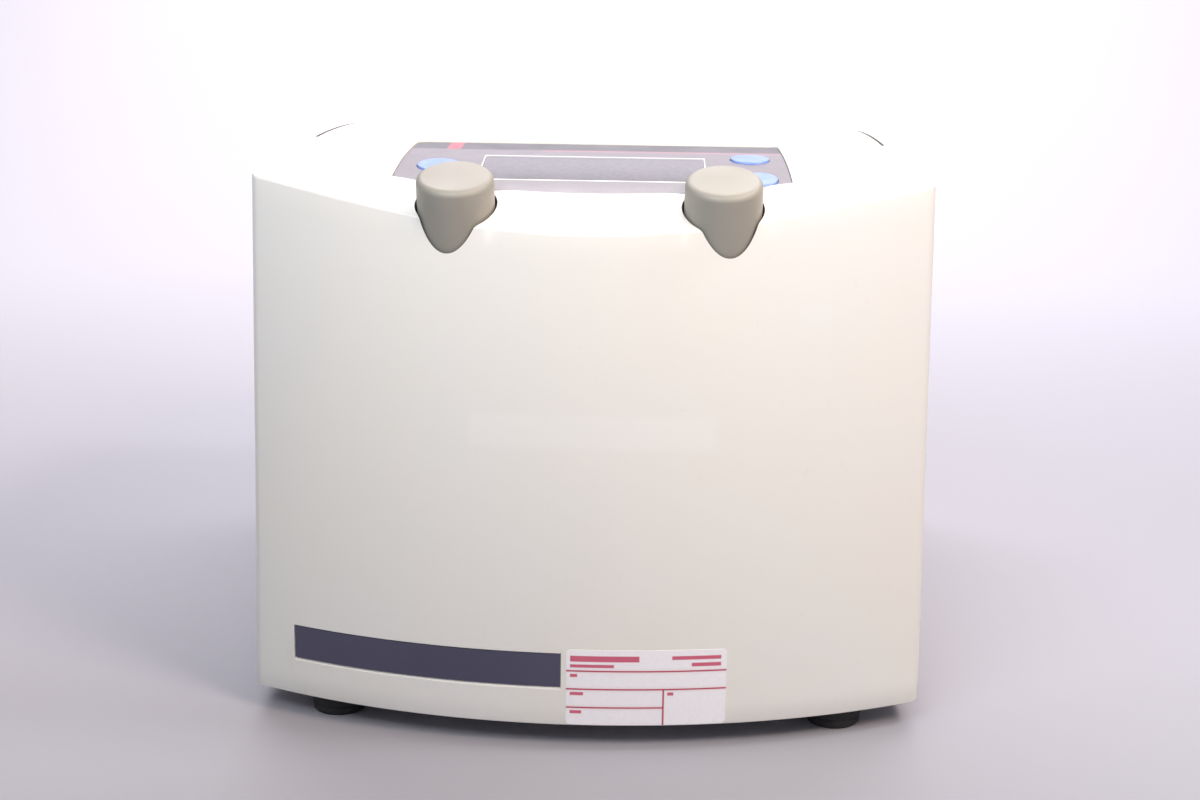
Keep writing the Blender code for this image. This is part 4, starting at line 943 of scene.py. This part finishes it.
def lid_inside():
    """Liner plate with a rounded drum over the chamber, its rib ring, and the rubber gasket."""
    low, high = 193.8, 196.3
    side = LID_HALF_WIDTH - LID_WALL - 0.3
    outline = between_depths(side, LID_FRONT + LID_WALL + 0.3, LID_INNER_REAR - LID_WALL - 0.3, 3.0)
    plate = prism_z("plate", outline, low, high)
    cut(plate, post("hole", 20, low - 5, high + 5, ROTOR_AXIS, 64, 0, 0.03))
    bore, tube = VIEWPORT_RADIUS, VIEWPORT_RADIUS + 1.8
    drum = [(bore, low - 2.8), (bore + 0.8, low - 3.6), (30, low - 3.6), (31, low - 4.4),
            (33, low - 4.4), (34, low - 3.6), (60, low - 3.6), (61, low - 4.4), (63, low - 4.4),
            (64, low - 3.6), (76.6, low - 3.6), (78.2, low - 3.1), (79, low - 1.9),
            (79, high - 0.5), (tube, high - 0.5), (tube, 207.5), (bore, 207.5)]
    unite(plate, lathe("drum", drum, ROTOR_AXIS, 160))
    groove = [(83.9, low - 5), (88.1, low - 5), (88.1, low + 1.0), (83.9, low + 1.0)]
    cut(plate, lathe("groove", groove, ROTOR_AXIS, 160, 0, 0.01))
    place(plate, "lid_liner_plate", "lid", LINER, "liner_plastic", "lid_liner")

    low, high = DECK_Z + 1.8, 194.5
    section = [(85.2, low), (86.8, low), (87.5, low + 0.4), (87.8, low + 1.0), (87.5, low + 1.4),
               (87.8, low + 1.8), (87.8, high), (84.2, high), (84.2, low + 1.8),
               (84.5, low + 1.4), (84.2, low + 1.0), (84.5, low + 0.4)]
    place(lathe("gasket", section, ROTOR_AXIS, 160), "lid_seal", "lid", GREY_RUBBER,
          "grey_rubber", "lid_gasket")


def hinges():
    for side, word in ((-1, "left"), (1, "right")):
        x, half = side * HINGE_X, HINGE_GAP_WIDTH / 2 - 0.6
        outer = HINGE_RADIUS - 0.2
        knuckle = [(HINGE_PIN_BORE, -half), (HINGE_RADIUS - 0.8, -half), (outer, 0.6 - half),
                   (outer, half - 0.6), (HINGE_RADIUS - 0.8, half), (HINGE_PIN_BORE, half)]
        made = lathe("knuckle", knuckle, sides=64)
        made.data.transform(Matrix.Translation(Vector((x, HINGE_AXIS[1], HINGE_Z)) * MM)
                            @ Matrix.Rotation(pi / 2, 4, "Y"))
        stand = prism_z("stand", centred(x, HINGE_AXIS[1], half, 4.8, 1.0), DECK_Z + 0.3,
                        HINGE_Z - 2.2)
        unite(made, stand)
        place(made, f"hinge_knuckle_{word}", "housing", BLACK, "black_plastic",
              f"hinge_bracket_{word}")


# -------- controls
def controls():
    film = crown_sheet("film", panel_outline(), -1.1, -0.5, -90, 90, 12, 95)
    opening = between_depths(WINDOW_HALF_WIDTH, WINDOW_FRONT, WINDOW_REAR, 0.8)
    cut(film, prism_z("window", opening, 150, 230))
    for x, depth, half_x, half_y in KEYS.values():
        hole = ellipse(x, at_depth(depth), half_x + 0.3, half_y + 0.3)
        cut(film, prism_z("key_hole", hole, 150, 230))
    for s in (-1, 1):
        cut(film, knob_cylinder("notch", s, KNOB_BORE_RADIUS + 1.2, 0, 60))
    place(film, "panel_film", "housing", PANEL, "overlay_film", "control_overlay")

    gap = 0.15
    pane_outline = between_depths(WINDOW_HALF_WIDTH - gap, WINDOW_FRONT + gap, WINDOW_REAR - gap,
                                  0.7)
    pane = crown_sheet("pane", pane_outline, -1.4, -0.65, -60, 60, 25, 70)
    place(pane, "display_pane", "housing", WINDOW, "window_glass", "display_window")

    for name, (x, depth, half_x, half_y) in KEYS.items():
        rings = []
        levels = [(1.0, KEY_PROUD - 1.2), (1.0, KEY_PROUD - 0.35), (0.985, KEY_PROUD - 0.12),
                  (0.95, KEY_PROUD)]
        levels += [(0.95 * (1 - k / 8), KEY_PROUD + 0.22 * sin(pi / 2 * k / 8))
                   for k in range(1, 8)]
        for scale, up in levels:
            outline = ellipse(x, at_depth(depth), half_x * scale, half_y * scale, 96)
            rings.append([(px, py, crown(py + BODY_DEPTH / 2) + up) for px, py in outline])
        place(loft(name, rings), f"{name}_cap", name, KEY, "key_blue", name)

    for name, side in (("speed_knob", -1), ("time_knob", 1)):
        top, low, edge = KNOB_TOP_ALONG, KNOB_FLOOR_ALONG + 1.0, KNOB_EDGE
        slim = KNOB_RADIUS - KNOB_DRAFT
        stem = KNOB_FLOOR_ALONG - 10.4
        profile = [(0, stem), (3.0, stem), (3.0, low), (KNOB_RADIUS - 0.8, low),
                   (KNOB_RADIUS, low + 0.8)]
        profile += [(KNOB_RADIUS - KNOB_DRAFT * k / 8,
                     low + 0.8 + (top - edge - low - 0.8) * k / 8) for k in range(1, 8)]
        profile += arc((slim - edge, top - edge), edge, 0, pi / 2, 14)
        profile += [(r, top + 0.12 * (1 - (r / 10.6) ** 2)) for r in (9.0, 7.0, 5.0, 3.0, 1.2)]
        profile += [(0, top + 0.12)]
        cap = lathe(name, profile, knob_pivot(side), 160, KNOB_TILT)
        place(cap, f"{name}_cap", name, KNOB, "knob_plastic", name)


def front_labels():
    x0, x1, z0, z1 = BAND
    band = front_layer("name_plate", x0, x1, z0, z1, -0.75, -0.25, 60)
    place(band, "name_plate", "housing", SLATE, "band_slate", "name_band")
    x0, x1, z0, z1 = STICKER
    paper = front_label("sticker", x0, x1, z0, z1, -0.02, 0.14, 1.6)
    place(paper, "ruled_sticker", "housing", PAPER, "sticker_paper", "inspection_sticker")


# -------- chamber and rotor
def chamber():
    rim_z, floor, corner = DECK_Z + 0.3, CHAMBER_FLOOR, 14.0
    t, r = 1.2, CHAMBER_RADIUS
    outer = arc((r - corner, floor + corner), corner + t, 0, -pi / 2, 16)
    inner = arc((r - corner, floor + corner), corner, -pi / 2, 0, 16)
    lip = arc((89.0, rim_z + t / 2), t / 2, pi / 2, -pi / 2, 6)
    bend = arc((r + 1.4, rim_z + t - 1.4), 1.4, pi, pi / 2, 5)
    profile = lip + [(r + t, rim_z)] + outer + [(16.0, floor - t), (16.0, floor)] + inner + bend
    place(lathe("bowl", profile, ROTOR_AXIS, 192), "chamber_liner", "housing", STEEL,
          "sheet_steel", "chamber_bowl")
    z = floor
    boot = [(6.0, z - 4), (15.7, z - 4), (15.7, z + 0.3), (20.4, z + 0.3), (21, z + 0.8),
            (20.8, z + 1.5), (19, z + 1.9), (13.5, z + 2.2), (11, z + 2.9), (9.4, z + 4.0),
            (8.0, z + 5.3), (6.8, z + 5.5), (6.0, z + 5.2)]
    place(lathe("boot", boot, ROTOR_AXIS, 96), "spindle_boot", "housing", RUBBER,
          "black_rubber", "spindle_seal")


def rotor():
    z0, r = ROTOR_LOW, ROTOR_RADIUS
    mouth_r, mouth_z, lip = TUBE_RING_RADIUS, TUBE_RING_Z, 5.6
    profile = [(8.3, z0), (16.6, z0), (17, z0 + 0.4), (29, z0 + 6.7), (30.5, z0 + 7), (66, z0 + 7),
               (r - 4.4, z0 + 9.8), (r - 1, z0 + 13), (r, z0 + 15.4), (r, z0 + 22.4),
               (r - 0.6, z0 + 23.6), (mouth_r + lip + 3.4, mouth_z + lip - 1.2),
               (mouth_r + lip + 2.4, mouth_z + lip - 0.2),
               (mouth_r + lip + 1.2, mouth_z + lip + 0.4),
               (mouth_r + lip + 0.2, mouth_z + lip + 0.1),
               (mouth_r - lip + 0.3, mouth_z - lip + 0.3),
               (mouth_r - lip - 1.2, mouth_z - lip - 0.9),
               (mouth_r - lip - 3, mouth_z - lip - 1.5), (17.6, mouth_z - lip - 1.5),
               (16.6, mouth_z - 6.4), (15.8, mouth_z - 6), (3.7, mouth_z - 6), (3.7, z0 + 24),
               (8.3, z0 + 20)]
    body = lathe("rotor", profile, ROTOR_AXIS, 192, 0, 0.004)
    shape = [(0, -36), (2.0, -35.2), (5.5, -31), (5.5, -1.2), (5.9, 0), (6.1, 14), (0, 14)]
    lean = Matrix.Rotation(-TUBE_LEAN, 4, "Y")
    out = Matrix.Translation(Vector((mouth_r, 0, mouth_z)) * MM)
    for start in (0, 1):
        holes = []
        for k in range(start, TUBE_PLACES, 2):
            hole = lathe("tube", shape, sides=40)
            turn = Matrix.Rotation(2 * pi * (k + 0.5) / TUBE_PLACES, 4, "Z")
            hole.data.transform(Matrix.Translation(Vector(ROTOR_AXIS) * MM) @ turn @ out @ lean)
            holes.append(hole)
        cut(body, join("tubes", *holes))
    place(body, "rotor_24_place", "rotor", ALUMINIUM, "rotor_aluminium", "rotor_body")

    low, high = mouth_z - 5.7, mouth_z + 14
    rings = []
    for z, grow in ((low + 4, 0), (high - 1.6, 0), (high - 0.7, 0.35), (high - 0.2, 0.9),
                    (high, 1.7)):
        ring = []
        for k in range(192):
            a = 2 * pi * k / 192
            reach = 13.0 - 1.6 * max(0.0, cos(8 * a)) ** 2 - grow
            ring.append((reach * cos(a), ROTOR_AXIS[1] + reach * sin(a), z))
        rings.append(ring)
    nut = loft("nut", rings)
    collar = [(0, low), (14.6, low), (15, low + 0.4), (15, low + 2.8), (14.6, low + 3.2),
              (12, low + 5), (0, low + 5)]
    unite(nut, lathe("collar", collar, ROTOR_AXIS, 96, 0, 0.02))
    cut(nut, post("thread", 3.4, low - 5, low + 10, ROTOR_AXIS, 32, 0, 0.04))
    place(nut, "rotor_hand_nut", "rotor_nut", BLACK, "black_plastic", "rotor_nut")


# -------- underside and back
def feet():
    profile = [(0, 0.5), (4.5, 0.5), (4.9, 0.0), (8.6, 0), (9.3, 0.25), (9.8, 0.9), (10.2, 3.0),
               (9.9, 3.3), (9.9, 3.9), (10.4, 4.2), (10.9, 7.6), (11.0, 8.2), (11.0, 9.0),
               (0, 9.0)]
    for end, depth in FOOT_DEPTHS.items():
        for side, sx in (("left", -1), ("right", 1)):
            foot = lathe("foot", profile, (sx * FOOT_X, at_depth(depth), 0), 96)
            place(foot, f"rubber_foot_{end}_{side}", "housing", RUBBER, "black_rubber",
                  f"foot_{end}_{side}")


def base():
    low, high = BODY_BOTTOM + 0.3, BODY_BOTTOM + 9.3

    def shape(z, inset, rear):
        return [(x, y, z) for x, y in plan(z, inset, rear, 48)]

    rear = BODY_DEPTH - 4.3
    pan = loft("pan", [shape(low, 4.3, rear - 1), shape(low + 0.35, 3.6, rear - 0.3),
                       shape(low + 1, 3.3, rear), shape(high, 3.3, rear)])
    cut(pan, loft("inner", [shape(low + 1.6, 4.9, rear - 1.6), shape(high + 5, 4.9, rear - 1.6)]))
    for s in (-1, 1):
        slots = []
        for row in range(6):
            x, y = s * 78, ROTOR_AXIS[1] - 35 + 14 * row
            slots.append(prism_z("slot", centred(x, y, 18, 1.8, 1.75), low - 2, low + 4))
        cut(pan, join("slots", *slots))
    place(pan, "floor_pan", "housing", STEEL, "sheet_steel", "base_pan")


def back():
    rear = BODY_DEPTH / 2
    front = rear - 2.3
    plate = prism_y("plate", rounded_rectangle(-102, 18, 102, 150, 1.0), front, rear - 0.3)
    outlines = [centred(*INLET, 14.6, 25.6, 1.0), centred(*SWITCH, 7.1, 10.6, 0.6)]
    outlines += [centred(8 + 8 * column, 68, 1.7, 28, 1.65) for column in range(11)]
    holes = [prism_y("hole", outline, front - 5, rear + 5) for outline in outlines]
    screws = [(sx * 98.4, z) for sx in (-1, 1) for z in (21.6, 146.4)]
    holes += [rod("screw_hole", "Y", 2.0, front - 5, rear + 5, (x, 0, z)) for x, z in screws]
    cut(plate, join("holes", *holes))
    place(plate, "back_plate", "housing", STEEL, "sheet_steel", "rear_panel")
    profile = [(0, -1.9), (1.6, -1.9), (1.6, 0), (3.4, 0), (3.38, 0.25), (3.1, 0.62),
               (2.5, 0.88), (1.6, 1.0), (0, 1.02)]
    for number, (x, z) in enumerate(screws, 1):
        screw = lathe("screw", profile, sides=48)
        cross = [block("cross", (-1.7, -0.28, 0.35), (1.7, 0.28, 2)),
                 block("cross", (-0.28, -1.7, 0.35), (0.28, 1.7, 2))]
        cut(screw, *cross)
        turn = Matrix.Rotation(-pi / 2, 4, "X") @ Matrix.Rotation(0.4 * number, 4, "Z")
        screw.data.transform(Matrix.Translation(Vector((x, rear, z)) * MM) @ turn)
        place(screw, f"panel_screw_{number}", "housing", BRIGHT, "bright_steel",
              f"rear_screw_{number}")
    power_inlet(rear)
    power_switch(rear)


def power_inlet(rear):
    x, z = INLET
    face = rear + REAR_PROUD
    body = prism_y("body", centred(x, z, 14, 25, 1.5), rear - 26, rear + 0.5)
    unite(body, prism_y("flange", centred(x, z, 16.5, 28, 2.5), rear, face))
    socket = [(x - 12, z - 18), (x - 11, z - 19), (x + 11, z - 19), (x + 12, z - 18),
              (x + 12, z - 6), (x + 8, z - 2), (x - 8, z - 2), (x - 12, z - 6)]
    cut(body, prism_y("socket", socket, rear - 19, rear + 5))
    cut(body, block("drawer_slot", (x - 11.5, rear - 22, z + 5), (x + 11.5, rear + 5, z + 18)))
    place(body, "mains_inlet_body", "housing", BLACK, "black_plastic", "iec_inlet")
    pins = [prism_y("pin", centred(x + px, z + pz, 1.0, 2, 0.4), rear - 18.9, rear - 5.8)
            for px, pz in ((-7, -12.5), (7, -12.5), (0, -8.5))]
    place(join("pins", *pins), "mains_inlet_pins", "housing", BRIGHT, "bright_steel")
    drawer = prism_y("drawer", rounded_rectangle(x - 11.2, z + 5.3, x + 11.2, z + 17.7, 0.7),
                     rear - 21, face - 0.2)
    bays = [block("bay", (x + px - 3.0, rear - 19.5, z + 9), (x + px + 3.0, rear - 4, z + 22))
            for px in (-5.3, 5.3)]
    notch = rod("notch", "Y", 4.2, rear - 1.4, rear + 3, (x, 0, z + 4.2))
    cut(drawer, *bays, notch)
    place(drawer, "fuse_drawer_body", "fuse_drawer", BLACK, "black_plastic", "fuse_drawer")


def power_switch(rear):
    x, z = SWITCH
    bezel = prism_y("bezel", centred(x, z, 6.8, 10.3, 0.8), rear - 22, rear + 0.5)
    unite(bezel, prism_y("flange", centred(x, z, 8.6, 12.2, 1.6), rear, rear + REAR_PROUD - 0.1))
    cut(bezel, block("well", (x - 5.2, rear - 12, z - 8.8), (x + 5.2, rear + 5, z + 8.8)))
    place(bezel, "switch_bezel", "housing", BLACK, "black_plastic", "power_switch_frame")
    pivot_y = rear - 6.5
    face = [(pivot_y + 3.4 - 0.8 * sin(pi * k / 12), z + 7.2 - 14.4 * k / 12) for k in range(13)]
    inner = [(pivot_y - 3, z - 5), (pivot_y - 3, z + 5)]
    rocker = prism_x("rocker", inner + face, x - 4.8, x + 4.8)
    centre = Matrix.Translation(Vector((0, pivot_y, z)) * MM)
    rocker.data.transform(centre @ Matrix.Rotation(radians(9), 4, "X") @ centre.inverted())
    place(rocker, "switch_rocker", "power_rocker", ROCKER, "black_plastic", "power_rocker")


def shown_nodes():
    """Materials for the CAD nodes that stay visible, all of them inside the body."""
    for paint, names in {
        COPPER: ("motor_stator", "motor_armature", "latch_solenoid", "transformer"),
        BOARD: ("control_board", "drive_board"),
        BRIGHT: ("lid_striker", "hinge_pin_left", "hinge_pin_right", "latch_hook", "latch_plunger",
                 "drive_spindle", "upper_bearing", "lower_bearing"),
        STEEL: ("latch_bracket", "motor_housing", "motor_end_cap"),
        BLACK: ("display_module", "speed_encoder", "time_encoder", "motor_fan", "bulk_capacitor"),
        RUBBER: ("motor_isolator_1", "motor_isolator_2", "motor_isolator_3"),
        GREY_RUBBER: ("ribbon_cable",),
    }.items():
        for name in names:
            for slot in bpy.data.objects[name].material_slots:
                slot.material = paint


lid_shell()
lid_inside()
hinges()
controls()
front_labels()
chamber()
rotor()
feet()
base()
back()
shown_nodes()


# -------- camera, light, floor
def add_camera():
    pitch, roll, yaw = 0.21206, -0.014233, -0.032212
    ahead = Vector((sin(yaw) * cos(pitch), cos(yaw) * cos(pitch), -sin(pitch)))
    level = Vector((cos(yaw), -sin(yaw), 0))
    down = ahead.cross(level)
    right = cos(roll) * level + sin(roll) * down
    below = -sin(roll) * level + cos(roll) * down
    turn = Matrix((right, -below, -ahead)).transposed().to_4x4()
    data = bpy.data.cameras.new("camera")
    data.sensor_width = 36.0
    data.lens = 51.0
    data.dof.use_dof = False
    data.clip_start = 0.01
    camera = bpy.data.objects.new("camera", data)
    position = Vector((23.366, at_depth(-569.173), 250.93)) * MM
    camera.matrix_world = Matrix.Translation(position) @ turn
    bpy.context.scene.collection.objects.link(camera)
    bpy.context.scene.camera = camera


def area_light(name, position, target, size, power, colour=(1, 1, 1), spread=pi):
    data = bpy.data.lights.new(name, "AREA")
    data.spread = spread
    data.shape = "RECTANGLE"
    data.size, data.size_y = size
    data.energy = power
    data.color = colour
    light = bpy.data.objects.new(name, data)
    light.location = position
    light.rotation_euler = (Vector(target) - Vector(position)).to_track_quat("-Z", "Y").to_euler()
    bpy.context.scene.collection.objects.link(light)


def add_studio():
    world = bpy.data.worlds.new("studio")
    bpy.context.scene.world = world
    world.use_nodes = True
    background = world.node_tree.nodes["Background"]
    background.inputs["Color"].default_value = (0.93, 0.95, 1.0, 1.0)
    background.inputs["Strength"].default_value = 0.29
    area_light("right_top", (0.70, -0.17, 0.95), (0, -0.10, 0.20), (0.20, 0.20), 3.4)
    area_light("key", (0.50, -0.60, 0.70), (0.02, -0.12, 0.42), (0.30, 0.30), 1.75,
               (1.0, 0.80, 0.67), radians(90))
    area_light("front_top", (-0.16, -0.58, 0.54), (0, -0.15, 0.37), (0.4, 0.3), 1.0,
               (0.88, 0.94, 1.0), radians(90))
    area_light("backdrop", (0.0, 1.1, 1.9), (0.0, 2.2, 0.3), (2.4, 0.8), 96.0, (1.0, 0.96, 0.99))
    reach, bend_start, bend, steps = 9.0, 1.2, 0.9, 24
    sweep = [(-reach, 0.0), (bend_start, 0.0)]
    sweep += [(bend_start + bend * sin(pi / 2 * k / steps), bend - bend * cos(pi / 2 * k / steps))
              for k in range(1, steps + 1)]
    sweep += [(bend_start + bend, 3.2)]
    bm = bmesh.new()
    rows = [[bm.verts.new((x, y, z)) for x in (-reach, reach)] for y, z in sweep]
    for low, high in zip(rows, rows[1:]):
        bm.faces.new((low[0], low[1], high[1], high[0]))
    floor = collect(bm, "floor")
    made, tree, shader = tree_of("floor_pale")
    tone = noise(position(tree), 1.2, 2.0)
    feed(shader.inputs["Base Color"],
         mixed(tone, (0.42, 0.412, 0.45), (0.45, 0.44, 0.48)))
    shader.inputs["Roughness"].default_value = 0.6
    shader.inputs["Specular IOR Level"].default_value = 0.2
    floor.data.materials.append(made)


add_camera()
add_studio()
bpy.context.scene.view_settings.view_transform = "Standard"
